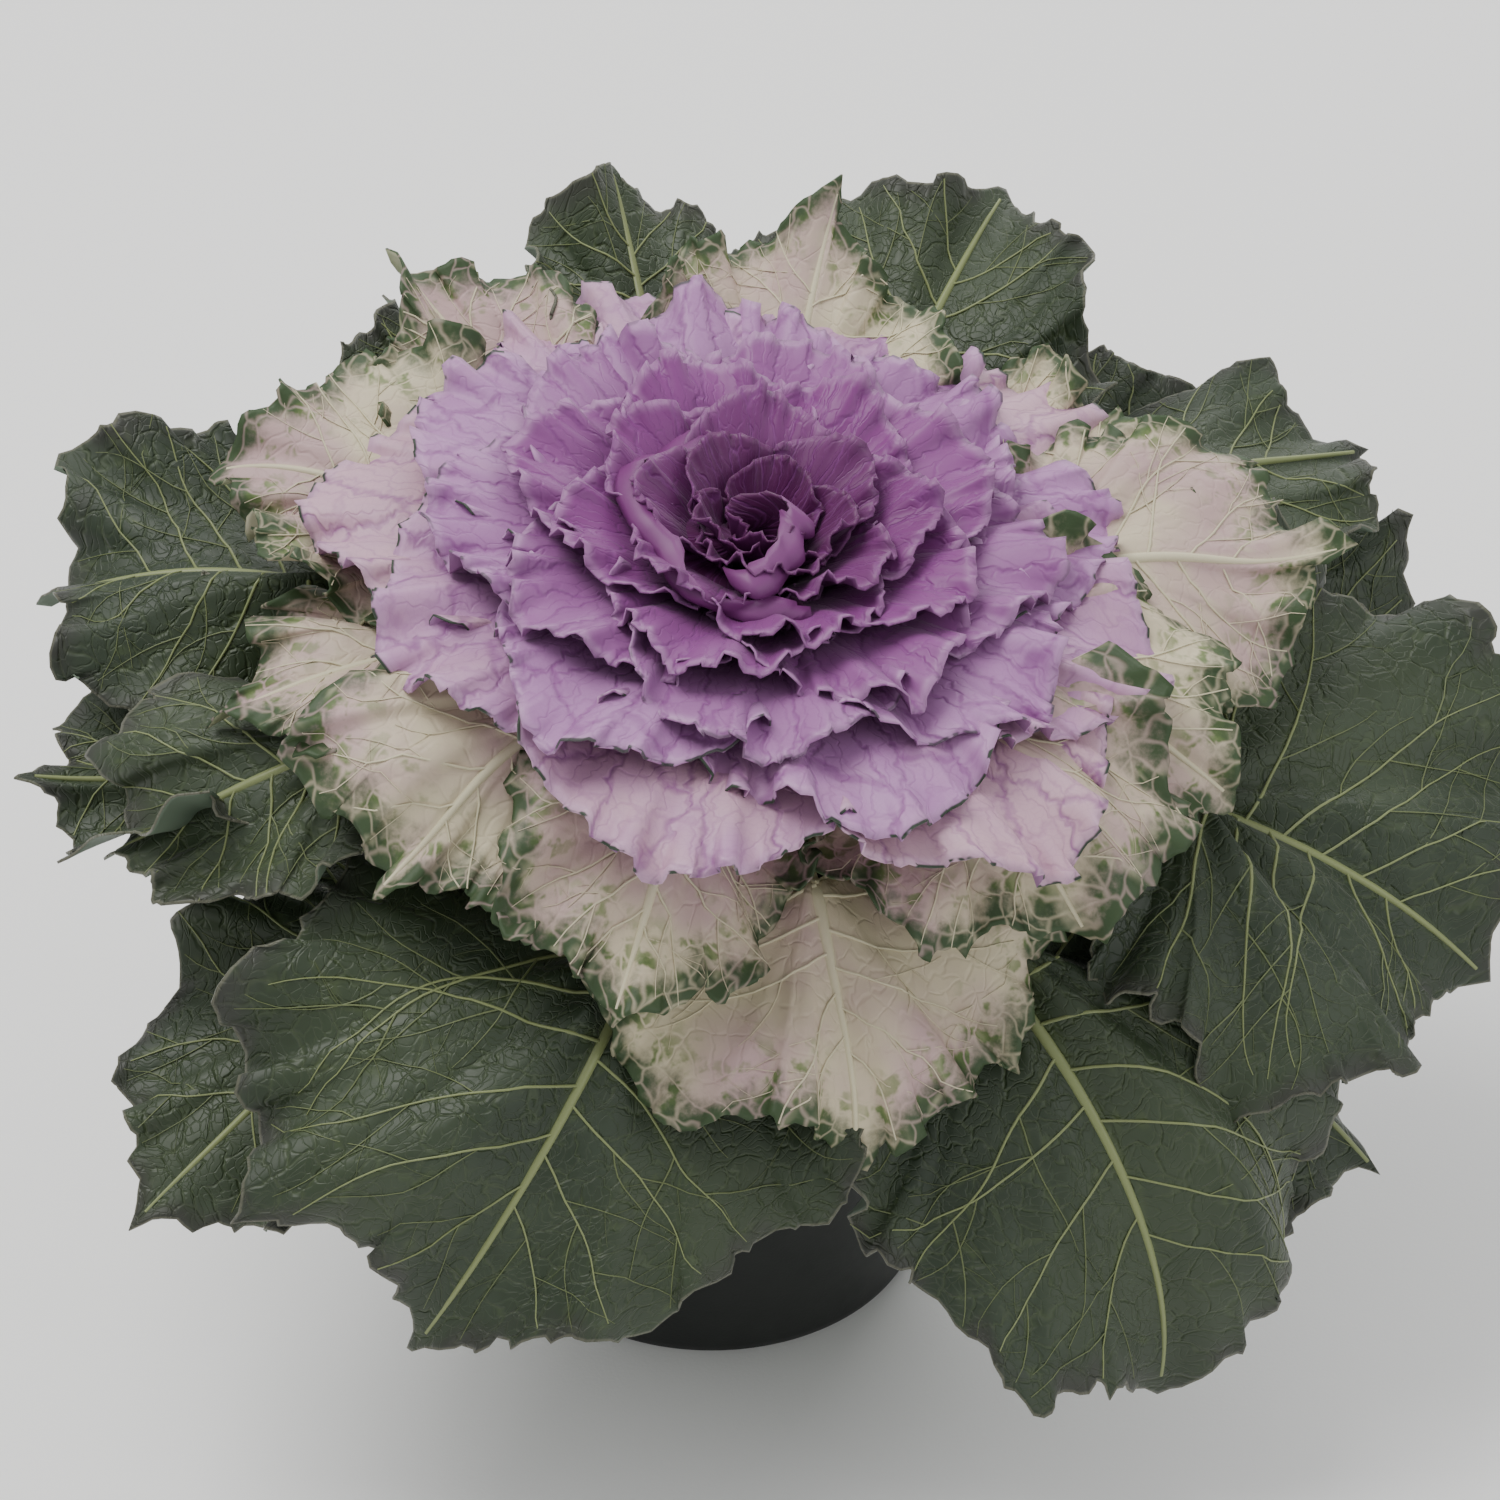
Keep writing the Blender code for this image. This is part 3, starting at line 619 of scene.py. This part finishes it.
class Blade:
    """A leaf's fan, from its foot (out = 0) to its margin (out = 1) and from side to side."""

    def __init__(self, leaf, packed):
        self.leaf = leaf
        self.kind = KINDS[leaf.kind]
        self.size = min(1.0, leaf.reach / 0.10) if leaf.fan else 1.0
        self.turns, self.runs = margin(leaf)
        columns = self.kind.columns
        stalk_end = STALK_HALF_WIDTH / math.sin(math.radians(180 - WIDEST_TURN))
        self.inner = ROOT_RING if leaf.fan else stalk_end
        shares = np.linspace(0, 1, len(self.kind.rings)) ** 0.8
        around = np.arange(columns + 1.0)
        heights = []
        for every, share in zip(self.kind.rings, shares):
            spots = around[::every]
            turn, run = self.along(spots / columns)
            tip = self.tip_distance(spots / columns, np.cos(math.pi * (spots - columns // 2)))
            ray = self.inner + (tip - self.inner) * share
            x, y = leaf.stalk + ray * np.cos(turn), ray * np.sin(turn)
            wave = ruffle(leaf, run, tip - ray) * share
            raised = laid_height(leaf, x, y, wave, packed)
            found = ~np.isnan(raised)
            if found.any():
                raised = np.interp(spots, spots[found], raised[found])
            else:
                raised = np.zeros(len(spots))
            heights.append(np.interp(around, spots, wave + raised))
        self.shares = shares
        self.around = around / columns
        self.heights = np.array(heights)

    def along(self, side):
        """The turn off the midrib and the way along the margin at a share of the way round."""
        run = np.asarray(side) * self.runs[-1]
        return np.interp(run, self.runs, self.turns), run - self.runs[-1] / 2

    def tip_distance(self, side, lobes):
        turn, run = self.along(side)
        uneven = self.kind.lobe * wander(run, self.kind.wave, self.leaf.seed * 5)
        return margin_distance(self.leaf, turn) * (1 + self.kind.lobe * lobes + uneven)

    def tip(self, side):
        """The toothed margin: pointed lobes, smaller teeth on them, and small nicks."""
        step = np.asarray(side) * self.kind.columns - self.kind.columns // 2
        lobes = 1 - 2 * np.abs(np.sin(math.pi * step / 2)) ** 0.8
        _, run = self.along(side)
        drift = 0.9 * wander(run, 0.03, self.leaf.seed * 13)
        tooth = self.kind.tooth * self.size * (1 + 0.6 * wander(run, 0.021, self.leaf.seed * 17))
        teeth = 1 - np.abs(np.sin(math.pi * run / (0.0105 * self.size) + drift)) ** 0.75
        nicks = 1 - np.abs(np.sin(math.pi * run / (0.0043 * self.size) + 2 * drift)) ** 0.8
        return self.tip_distance(side, lobes) + tooth * (teeth - 0.3 + 0.3 * nicks)

    def frills(self, run, inset):
        """Two sizes of short ruffle that stand on the long waves, near the margin only."""
        height = 0.0
        sway = 0.0
        for number, (share, part) in enumerate(((0.42, 1.0), (0.17, 0.36))):
            wave = self.kind.wave * self.size * share
            phase = math.tau * run / wave + 1.3 * wander(run, 1.9 * wave, self.leaf.seed * 19 + number)
            swell = 1 + 0.5 * wander(run, 2.3 * wave, self.leaf.seed * 23 + number)
            rise = self.kind.frill * self.size * part * swell * np.exp(-inset / (0.75 * wave))
            height = height + rise * np.sin(phase)
            sway = sway - 0.45 * rise * np.sin(2 * phase)
        return height, sway

    def surface(self, side, out, lift=0.0):
        """Places in space of points given by their share of the way round and out."""
        side, out = np.asarray(side, float), np.asarray(out, float)
        turn, run = self.along(side)
        tip = self.tip(side)
        ray = self.inner + (tip - self.inner) * out
        by_ring = spline(self.around, self.heights.T, side)
        height = row_spline(self.shares, by_ring, out)
        frill, sway = self.frills(run, tip - ray)
        turn = turn + sway / np.maximum(ray, 0.01)
        x, y = self.leaf.stalk + ray * np.cos(turn), ray * np.sin(turn)
        return bend(self.leaf, x, y, height + frill * out + lift), np.stack([x, y, tip - ray], axis=1)

    def side_out(self, x, y):
        """The shares round and out of points in the leaf's plane."""
        turn = np.arctan2(y, x - self.leaf.stalk)
        side = np.interp(turn, self.turns, self.runs) / self.runs[-1]
        ray = np.hypot(x - self.leaf.stalk, y)
        return side, np.clip((ray - self.inner) / (self.tip(side) - self.inner), 0, 1)


def row_spline(knots, rows, at):
    """A cubic through each row's own values at the knots, read at that row's own place."""
    result = np.empty(len(at))
    order = np.argsort(at)
    for part in np.array_split(order, 60):
        if len(part):
            low, high = at[part].min(), at[part].max()
            ends = spline(knots, rows[part].T, np.array([low, (low + high) / 2, high]))
            share = (at[part] - low) / max(high - low, 1e-9)
            first = ends[0] * (1 - share) * (1 - 2 * share)
            result[part] = first + 4 * ends[1] * share * (1 - share) + ends[2] * share * (2 * share - 1)
    return result


def stamp(thing, **values):
    """Writes a number or a direction for each of the mesh's points, for the materials to read."""
    mesh = thing.data
    for name, value in values.items():
        value = np.asarray(value, np.float32)
        vector = value.ndim == 2 or value.shape == (3,)
        kind = "FLOAT_VECTOR" if vector else "FLOAT"
        layer = mesh.attributes.new(name, kind, "POINT")
        shape = (len(mesh.vertices), 3) if vector else (len(mesh.vertices),)
        layer.data.foreach_set("vector" if vector else "value", np.broadcast_to(value, shape).ravel())


def vein_lines(leaf, blade, count, forks, dice):
    """The blade's net in its own plane: side veins off the midrib, and the forks off those.
    Each line is (points, width at its root, width at its end, how strongly it shows).
    """
    length = leaf.reach - leaf.stalk
    lines = []

    def grow(start, heading, reach, curl, root, end, show):
        steps = max(5, int(reach / 0.0035))
        drift = dice.normal(0, 0.045)
        points = [np.array(start)]
        for step in range(steps):
            drift = 0.7 * drift + dice.normal(0, 0.035)
            heading += curl / steps + drift
            points.append(points[-1] + reach / steps * np.array((math.cos(heading), math.sin(heading))))
            _, out = blade.side_out(np.array([points[-1][0]]), np.array([points[-1][1]]))
            if out[0] > 0.95:
                break
        if len(points) > 3:
            lines.append((np.array(points), root, root + (end - root) * (len(points) - 1) / steps, show))
        return points

    for side in (-1, 1):
        for number in range(count):
            share = (number + (0.55 if side > 0 else 0.2)) / count
            start = (leaf.stalk + length * (0.01 + 0.74 * share**1.25), 0.0)
            spread = math.radians(112 - 68 * share**0.6 + dice.normal(0, 4))
            width = VEIN_WIDTH * (1 - 0.60 * share)
            reach = length * (0.90 - 0.35 * share)
            points = grow(start, side * spread, reach, -side * 0.30, width, 0.0003, 0.95)
            for fork in range(forks):
                spot = int(len(points) * (0.25 + 0.62 * fork / forks) + dice.uniform(0, 1.5))
                if 0 < spot < len(points) - 3:
                    ahead = points[spot + 1] - points[spot]
                    turn = (1 if (fork + number) % 2 else -1) * dice.uniform(0.55, 0.85)
                    heading = math.atan2(ahead[1], ahead[0]) + turn
                    reach = length * 0.30
                    twig = grow(points[spot], heading, reach, -turn * 0.6, width * 0.5, 0.00022, 0.5)
                    for joint in range(3, len(twig) - 2, 5):
                        ahead = twig[joint + 1] - twig[joint]
                        aside = dice.choice((-1, 1)) * dice.uniform(0.7, 1.1)
                        heading = math.atan2(ahead[1], ahead[0]) + aside
                        grow(twig[joint], heading, length * 0.09, 0.0, width * 0.24, 0.00014, 0.2)
    return lines


def ribbon(name, paths, sides):
    """Round tapering cords along paths of (points, radii), made one mesh."""
    curve = bpy.data.curves.new(name, "CURVE")
    curve.dimensions = "3D"
    curve.bevel_depth = 1.0
    curve.bevel_resolution = sides
    curve.use_fill_caps = True
    for points, radii in paths:
        line = curve.splines.new("POLY")
        line.points.add(len(points) - 1)
        line.points.foreach_set("co", np.column_stack([points, np.ones(len(points))]).ravel())
        line.points.foreach_set("radius", np.asarray(radii, float))
    made = bpy.data.objects.new(name, curve)
    bpy.context.collection.objects.link(made)
    deselect()
    made.select_set(True)
    bpy.context.view_layer.objects.active = made
    bpy.ops.object.convert(target="MESH")
    bpy.ops.object.shade_smooth()
    return active()


def grow_leaf(leaf, blade, columns, rows, finish, back, veins, thickness=BLADE):
    """One finished leaf: blade, veins and stalk in one piece."""
    deselect()
    bpy.ops.mesh.primitive_grid_add(x_subdivisions=columns, y_subdivisions=rows, size=1.0)
    made = active()
    made.name = leaf.name + "_blade"
    flat = np.empty(len(made.data.vertices) * 3, np.float32)
    made.data.vertices.foreach_get("co", flat)
    flat = flat.reshape(-1, 3)
    side, out = 0.5 - flat[:, 0].astype(float), (flat[:, 1] + 0.5).astype(float)
    out = 1 - (1 - out) ** 1.25
    dice = np.random.default_rng(leaf.seed * 101)
    lines = vein_lines(leaf, blade, *veins, dice) if veins else []
    length = leaf.reach - leaf.stalk
    rib = np.column_stack([np.linspace(leaf.stalk, leaf.stalk + length * 0.93, 40), np.zeros(40)])
    tree = KDTree(sum(len(points) for points, _, _, _ in lines) + len(rib))
    weights = []
    for points, root, end, _ in [*lines, (rib, 0.0022, 0.0006, 1.0)]:
        for number, point in enumerate(points):
            tree.insert((point[0], point[1], 0.0), len(weights))
            weights.append(root + (end - root) * number / len(points))
    tree.balance()
    places, plan = blade.surface(side, out)
    near = np.empty(len(plan))
    for number, (x, y, _) in enumerate(plan):
        _, index, distance = tree.find((x, y, 0.0))
        clear = max(distance - weights[index] * 0.5, 0)
        near[number] = math.exp(-clear / (0.6 * weights[index] + 0.0009))
    pucker = 0.00055 * near * np.clip(plan[:, 2] / 0.01, 0, 1)
    places, plan = blade.surface(side, out, -pucker if not leaf.fan else 0.0)
    made.data.vertices.foreach_set("co", places.astype(np.float32).ravel())
    away = np.hypot(plan[:, 0] - leaf.stalk, plan[:, 1])
    fanned = np.column_stack([np.arctan2(plan[:, 1], plan[:, 0] - leaf.stalk) * 7, away * 30, away * 0])
    stamp(made, plan=plan, vein=near, edge=plan[:, 2], age=leaf.age, cord=0.0, fanned=fanned)
    made.data.materials.append(finish.material)
    made.data.materials.append(back.material)
    bpy.ops.object.shade_smooth()
    skin = made.modifiers.new("thickness", "SOLIDIFY")
    skin.thickness = thickness
    skin.offset = -1.0
    skin.material_offset = 1
    bpy.ops.object.modifier_apply(modifier=skin.name)
    parts = [made]
    for strength in sorted({show for _, _, _, show in lines}):
        cords = []
        for points, root, end, show in lines:
            if show == strength:
                side, out = blade.side_out(points[:, 0], points[:, 1])
                radii = np.linspace(root, end, len(points)) / 2
                sunk, _ = blade.surface(side, out, -radii * 0.45)
                cords.append((sunk, radii))
        parts.append(ribbon(leaf.name + "_veins", cords, 0))
        stamp(parts[-1], cord=strength)
    if leaf.stalk:
        parts.append(grow_stalk(leaf, blade))
        stamp(parts[-1], cord=1.0)
    for part in parts[1:]:
        stamp(part, plan=(0.0, 0.0, 0.02), fanned=(0.0, 0.0, 0.0), vein=1.0, edge=0.02, age=leaf.age)
        part.data.materials.append(finish.material)
    return join_pieces(parts)


def grow_stalk(leaf, blade):
    """The fleshy stalk from the stem to the blade, which runs on under it as its tapering midrib."""
    raise_root = blade.heights[0].mean()
    stalk_x = np.linspace(0.0, leaf.stalk, 24)
    rising = [raise_root * 0.6, raise_root * 0.9, raise_root]
    heights = np.interp(stalk_x, [0, leaf.stalk * 0.5, leaf.stalk], rising)
    on_stalk = bend(leaf, stalk_x, np.zeros(24), heights - STALK_THICKNESS * 0.5)
    rib_out = np.linspace(0.04, 0.94, 40)
    middle = np.interp(0.0, blade.turns, blade.runs) / blade.runs[-1]
    rib_radius = RIB_RADIUS - 0.0022 * rib_out**0.7
    on_rib = [
        blade.surface([middle], [share], -depth * 0.75)[0][0] for share, depth in zip(rib_out, rib_radius)
    ]
    points = np.concatenate([on_stalk, on_rib])
    radii = np.concatenate([np.linspace(ROOT_RADIUS, RIB_RADIUS, 24), rib_radius])
    return ribbon(leaf.name + "_stalk", [(points, radii)], 4)


green = Finish("green_leaf", 0.5, Specular_IOR_Level=0.45, Sheen_Weight=0.12, Sheen_Roughness=0.4)
plan = green.attribute("plan", "Vector")
vein = green.attribute("vein")
edge = green.attribute("edge")
cord = green.attribute("cord")
warped = green.swirled(plan, 70.0, (0.012, 0.012, 0.0))
net = green.cell_edges(150.0, warped).between(0.10, 0.0)
fine_net = green.cell_edges(420.0, warped).between(0.12, 0.0)
cloud = green.noise(14.0, 4.0)
# Lighter grey-green patches: the leaves' waxy bloom, and painted sheen on top of it.
bloom_and_sheen = green.noise(38.0, 6.0, roughness=0.6).between(0.42, 0.72)
blade_colour = green.mix(cloud.between(0.35, 0.65), (0.014, 0.027, 0.011), (0.030, 0.047, 0.020))
blade_colour = green.mix(bloom_and_sheen * 0.40, blade_colour, (0.058, 0.078, 0.050))
blade_colour = green.mix(net * 0.22 + fine_net * 0.12, blade_colour, (0.075, 0.105, 0.038))
blade_colour = green.mix(vein.between(0.35, 1.0) * 0.35, blade_colour, (0.085, 0.120, 0.038))
tinge = edge.between(0.010, 0.0) * green.noise(60.0).between(0.35, 0.6)
blade_colour = green.mix(tinge * 0.6, blade_colour, (0.030, 0.024, 0.026))
blade_colour = green.mix(edge.between(0.0009, 0.0003) * 0.6, blade_colour, (0.150, 0.150, 0.105))
swells = green.relief(cloud + bloom_and_sheen * 0.3, 0.0015, 0.4)
green.set(
    Base_Color=green.mix(cord * 0.80, blade_colour, (0.250, 0.290, 0.120)),
    Roughness=0.46 + bloom_and_sheen * 0.16 - cord * 0.06,
    Normal=green.relief(fine_net, -0.0003, 0.5, green.relief(net, -0.0008, 0.55, swells)),
)
green_back = Finish("green_leaf_underside", 0.62)
back_cloud = green_back.noise(30.0, 5.0)
green_back.set(
    Base_Color=green_back.mix(back_cloud, (0.070, 0.105, 0.070), (0.120, 0.160, 0.110)),
    Normal=green_back.relief(back_cloud, 0.0008, 0.5),
)

for leaf in GREEN_LEAVES:
    columns, rows, veins = NEAR_MESH if leaf.name in NEAR_LEAVES else FAR_MESH
    piece = grow_leaf(leaf, Blade(leaf, packed_points(leaf.name)), columns, rows, green, green_back, veins)
    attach(piece, "root")
    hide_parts(leaf.name)


# Variegated leaves
# The collar between the green leaves and the head: cream and dusty pink where they are
# covered, mottled and netted with green towards their frilled margins.
CREAM_LEAVES = [
    Leaf("variegated_front", "cream", -74, 0.041, 0.122, 0.055, 0.128, 20, -58, seed=21),
    Leaf("variegated_right", "cream", 8, 0.044, 0.152, 0.076, 0.095, 32, -10, roll=8, seed=22),
    Leaf("variegated_right_back", "cream", 32, 0.038, 0.144, 0.068, 0.095, 38, 12, seed=23),
    Leaf("variegated_back", "cream", 82, 0.044, 0.140, 0.066, 0.100, 50, 20, seed=24),
    Leaf("variegated_left_back", "cream", 136, 0.040, 0.146, 0.072, 0.080, 36, 10, seed=25),
    Leaf("variegated_left", "cream", 165, 0.045, 0.142, 0.070, 0.100, 32, -6, seed=26),
    Leaf("variegated_left_low", "cream", -163, 0.043, 0.112, 0.052, 0.082, 28, -36, seed=27),
    Leaf("variegated_front_left", "cream", -134, 0.046, 0.104, 0.046, 0.080, 28, -44, seed=28),
    Leaf("variegated_front_middle", "cream", -104, 0.047, 0.094, 0.044, 0.074, 26, -50, seed=29),
    Leaf("variegated_front_right", "cream", -46, 0.047, 0.100, 0.046, 0.080, 28, -42, seed=30),
    Leaf("variegated_right_low", "cream", -20, 0.045, 0.116, 0.052, 0.082, 30, -26, seed=31),
]

cream = Finish("variegated_leaf", 0.5, Specular_IOR_Level=0.35)
plan = cream.attribute("plan", "Vector")
vein = cream.attribute("vein")
edge = cream.attribute("edge")
cord = cream.attribute("cord")
warped = cream.swirled(plan, 70.0, (0.012, 0.012, 0.0))
net = cream.cell_edges(190.0, warped).between(0.14, 0.0)
ragged = cream.noise(75.0, 5.0, roughness=0.65)
green_edge = (edge + ragged * 0.022).between(0.022, 0.013)
mottle = cream.noise(160.0, 3.0).between(0.5, 0.62) * (edge + ragged * 0.02).between(0.034, 0.016)
flesh = cream.mix(cream.noise(24.0, 3.0).between(0.35, 0.65), (0.480, 0.330, 0.330), (0.600, 0.530, 0.370))
flesh = cream.mix(mottle * (1 - net), flesh, (0.130, 0.190, 0.055))
flesh = cream.mix(green_edge * (1 - net * 0.45), flesh, (0.038, 0.068, 0.026))
flesh = cream.mix(vein.between(0.3, 1.0) * 0.4, flesh, (0.600, 0.560, 0.380))
cream.set(
    Base_Color=cream.mix(cord * 0.8, flesh, (0.620, 0.580, 0.400)),
    Roughness=0.48 + ragged * 0.12,
    Normal=cream.relief(net, -0.0005, 0.35, cream.relief(ragged, 0.0012, 0.4)),
)
cream_back = Finish("variegated_leaf_underside", 0.6)
back_cloud = cream_back.noise(40.0, 5.0)
cream_back.set(
    Base_Color=cream_back.mix(back_cloud.between(0.35, 0.65), (0.200, 0.240, 0.120), (0.480, 0.440, 0.320)),
    Normal=cream_back.relief(back_cloud, 0.0008, 0.5),
)

for leaf in CREAM_LEAVES:
    piece = grow_leaf(leaf, Blade(leaf, packed_points(leaf.name)), 190, 22, cream, cream_back, (6, 3))
    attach(piece, "root")
    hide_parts(leaf.name)


# Rosette
# The coloured head. Its leaves stand a golden angle apart on the stem's tip, from closed
# magenta ones at the heart to wide lilac and dusty pink ones at the edge, all finely frilled.
HEAD_LEAVES = 46
HEART_HEIGHT = 0.124
ROSETTE_BOWL = 0.009
ROSETTE_DROP = 0.031
ROSETTE_RADIUS = 0.127
HEART_LEAF = 0.022
HEART_RADIUS = 0.006
OUTER_FOOT = 0.067
ARCH = 38
HEART_TURN = 20
FAN_AT_HEART = 56
FAN_AT_EDGE = 44
CORE_TOP = 0.116
CORE_TOP_RADIUS = 0.0035
CORE_RADIUS = 0.014
ROOT_SUNK = 0.0025
GOLDEN_ANGLE = 137.508
HEAD_GAP = 0.0012
HEAD_COLUMNS = 16
HEAD_RINGS = 4
SINK = 0.003
TRIED = 0.030
MOST_RAISED = 0.018
NEXT_BELOW = 16
SHELL_SIDE = 32
SHELL_OUT = 6


def head_leaf(number):
    """The head's leaf of that number, counted from the heart outwards."""
    age = number / (HEAD_LEAVES - 1)
    foot = OUTER_FOOT + (HEART_HEIGHT - HEART_LEAF - OUTER_FOOT) * (1 - age)
    up_core = (foot - STEM_HEIGHT) / (CORE_TOP - STEM_HEIGHT)
    root = CORE_RADIUS - (CORE_RADIUS - CORE_TOP_RADIUS) * up_core - ROOT_SUNK
    radius = HEART_RADIUS + (ROSETTE_RADIUS - HEART_RADIUS) * age**0.85 - root
    bowl = ROSETTE_BOWL * math.sin(math.pi * age**0.6)
    height = HEART_HEIGHT + bowl - ROSETTE_DROP * age**1.5 - foot
    slope = math.degrees(math.atan2(height, radius))
    arch = ARCH * age**0.6
    return Leaf(
        name=f"rosette_{number:02d}",
        kind="rosette",
        azimuth=number * GOLDEN_ANGLE + HEART_TURN,
        foot=foot,
        reach=math.hypot(height, radius) * (1 + 0.08 * age),
        stalk=0.0,
        width=0.0,
        rise=slope + arch,
        fall=slope - arch,
        root=root,
        fan=FAN_AT_HEART + (FAN_AT_EDGE - FAN_AT_HEART) * age**0.7,
        seed=100 + number,
        age=age,
    )


class HeadBlade(Blade):
    """A leaf of the head, which rests on the leaves that were placed before it."""

    def __init__(self, leaf, placed):
        super().__init__(leaf, np.zeros((1, 3)))
        side = np.repeat(np.linspace(0, 1, HEAD_COLUMNS + 1)[None], HEAD_RINGS, axis=0)
        self.shares = np.linspace(0, 1, HEAD_RINGS)
        self.around = np.linspace(0, 1, HEAD_COLUMNS + 1)
        out = np.repeat(self.shares[:, None], HEAD_COLUMNS + 1, axis=1)
        turn, run = self.along(side)
        lobes = np.cos(math.pi * (side * self.kind.columns - self.kind.columns // 2))
        tip = self.tip_distance(side, lobes)
        ray = self.inner + (tip - self.inner) * out
        x, y = leaf.stalk + ray * np.cos(turn), ray * np.sin(turn)
        wave = ruffle(leaf, run, tip - ray) * out
        raised = np.zeros(x.shape)
        for _ in range(3):
            low = bend(leaf, x.ravel(), y.ravel(), (wave + raised).ravel())
            high = bend(leaf, x.ravel(), y.ravel(), (wave + raised).ravel() + TRIED)
            need = np.zeros(x.size)
            for number, (start, end) in enumerate(zip(high, low)):
                down = Vector(end - start)
                reach = down.length + SINK
                for tree in placed:
                    distance = tree.ray_cast(Vector(start), down.normalized(), reach)[3]
                    if distance is not None and distance > TRIED - MOST_RAISED:
                        need[number] = max(need[number], down.length + HEAD_GAP - distance)
            need = need.reshape(x.shape)
            for _ in range(2):
                spread = need.copy()
                spread[:, 1:] = np.maximum(spread[:, 1:], 0.7 * need[:, :-1])
                spread[:, :-1] = np.maximum(spread[:, :-1], 0.7 * need[:, 1:])
                spread[1:] = np.maximum(spread[1:], 0.8 * need[:-1])
                need = spread
            raised += need * np.clip(out * 3, 0, 1)
        self.heights = wave + raised


purple = Finish("purple_leaf", 0.42, Specular_IOR_Level=0.4, Sheen_Weight=0.1)
plan = purple.attribute("plan", "Vector")
vein = purple.attribute("vein")
edge = purple.attribute("edge")
age = purple.attribute("age")
warped = purple.swirled(plan, 90.0, (0.010, 0.010, 0.0))
net = purple.cell_edges(420.0, warped).between(0.14, 0.0)
push = purple.node("ShaderNodeTexNoise", {}, {"Vector": plan, "Scale": 120.0}, "Color")
sway = purple.node(
    "ShaderNodeVectorMath",
    {"operation": "MULTIPLY_ADD"},
    {0: push, 1: (0.6, 0.3, 0.0), 2: purple.attribute("fanned", "Vector")},
)
rays = purple.cell_edges(1.0, sway).between(0.085, 0.0)
fine_rays = purple.cell_edges(2.7, sway).between(0.11, 0.0)
cloud = purple.noise(45.0, 4.0)
body = purple.mix(age.between(0.03, 0.42), (0.085, 0.006, 0.070), (0.210, 0.040, 0.205))
body = purple.mix((age + cloud * 0.12).between(0.42, 0.88), body, (0.420, 0.200, 0.430))
body = purple.mix((age + cloud * 0.25).between(0.88, 1.12), body, (0.560, 0.350, 0.430))
pale = (edge.between(0.007, 0.0) + cloud * 0.4).between(0.5, 1.3) * age.between(0.05, 0.5)
body = purple.mix(pale * 0.35, body, (0.600, 0.380, 0.600))
body = purple.mix(rays * 0.45 + fine_rays * 0.20 + net * 0.08, body, (0.200, 0.040, 0.210))
knobs = edge.between(0.0011, 0.0004) * age.between(0.45, 0.8)
knobs = knobs * purple.noise(170.0, 1.0).between(0.50, 0.56)
body = purple.mix(knobs, body, (0.030, 0.050, 0.030))
purple.set(
    Base_Color=body,
    Roughness=0.40 + cloud * 0.15,
    Normal=purple.relief(rays + fine_rays * 0.4, -0.0005, 0.5, purple.relief(cloud, 0.0012, 0.35)),
)
purple_back = Finish("purple_leaf_underside", 0.5)
back_cloud = purple_back.noise(40.0, 5.0)
age = purple_back.attribute("age")
purple_back.set(
    Base_Color=purple_back.mix(age, (0.160, 0.030, 0.150), (0.360, 0.190, 0.360)),
    Normal=purple_back.relief(back_cloud, 0.0006, 0.5),
)

head_trees = []
outer, inner = [], []
for number in reversed(range(HEAD_LEAVES)):
    leaf = head_leaf(number)
    blade = HeadBlade(leaf, head_trees[-NEXT_BELOW:])
    columns = int(60 + 80 * leaf.age)
    rows = int(10 + 9 * leaf.age)
    piece = grow_leaf(leaf, blade, columns, rows, purple, purple_back, None, 0.0006)
    side, out = np.meshgrid(np.linspace(0, 1, SHELL_SIDE + 1), np.linspace(0, 1, SHELL_OUT + 1))
    shell, _ = blade.surface(side.ravel(), out.ravel())
    starts = [row * (SHELL_SIDE + 1) + spot for row in range(SHELL_OUT) for spot in range(SHELL_SIDE)]
    quads = [(a, a + 1, a + SHELL_SIDE + 2, a + SHELL_SIDE + 1) for a in starts]
    head_trees.append(BVHTree.FromPolygons([Vector(point) for point in shell], quads))
    (outer if number > HEAD_LEAVES // 2 else inner).append(piece)
for name, group in (("outer_rosette", outer), ("heart_rosette", inner)):
    piece = join_pieces(group)
    piece.name = name
    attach(piece, "root")
    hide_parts("rosette_head")
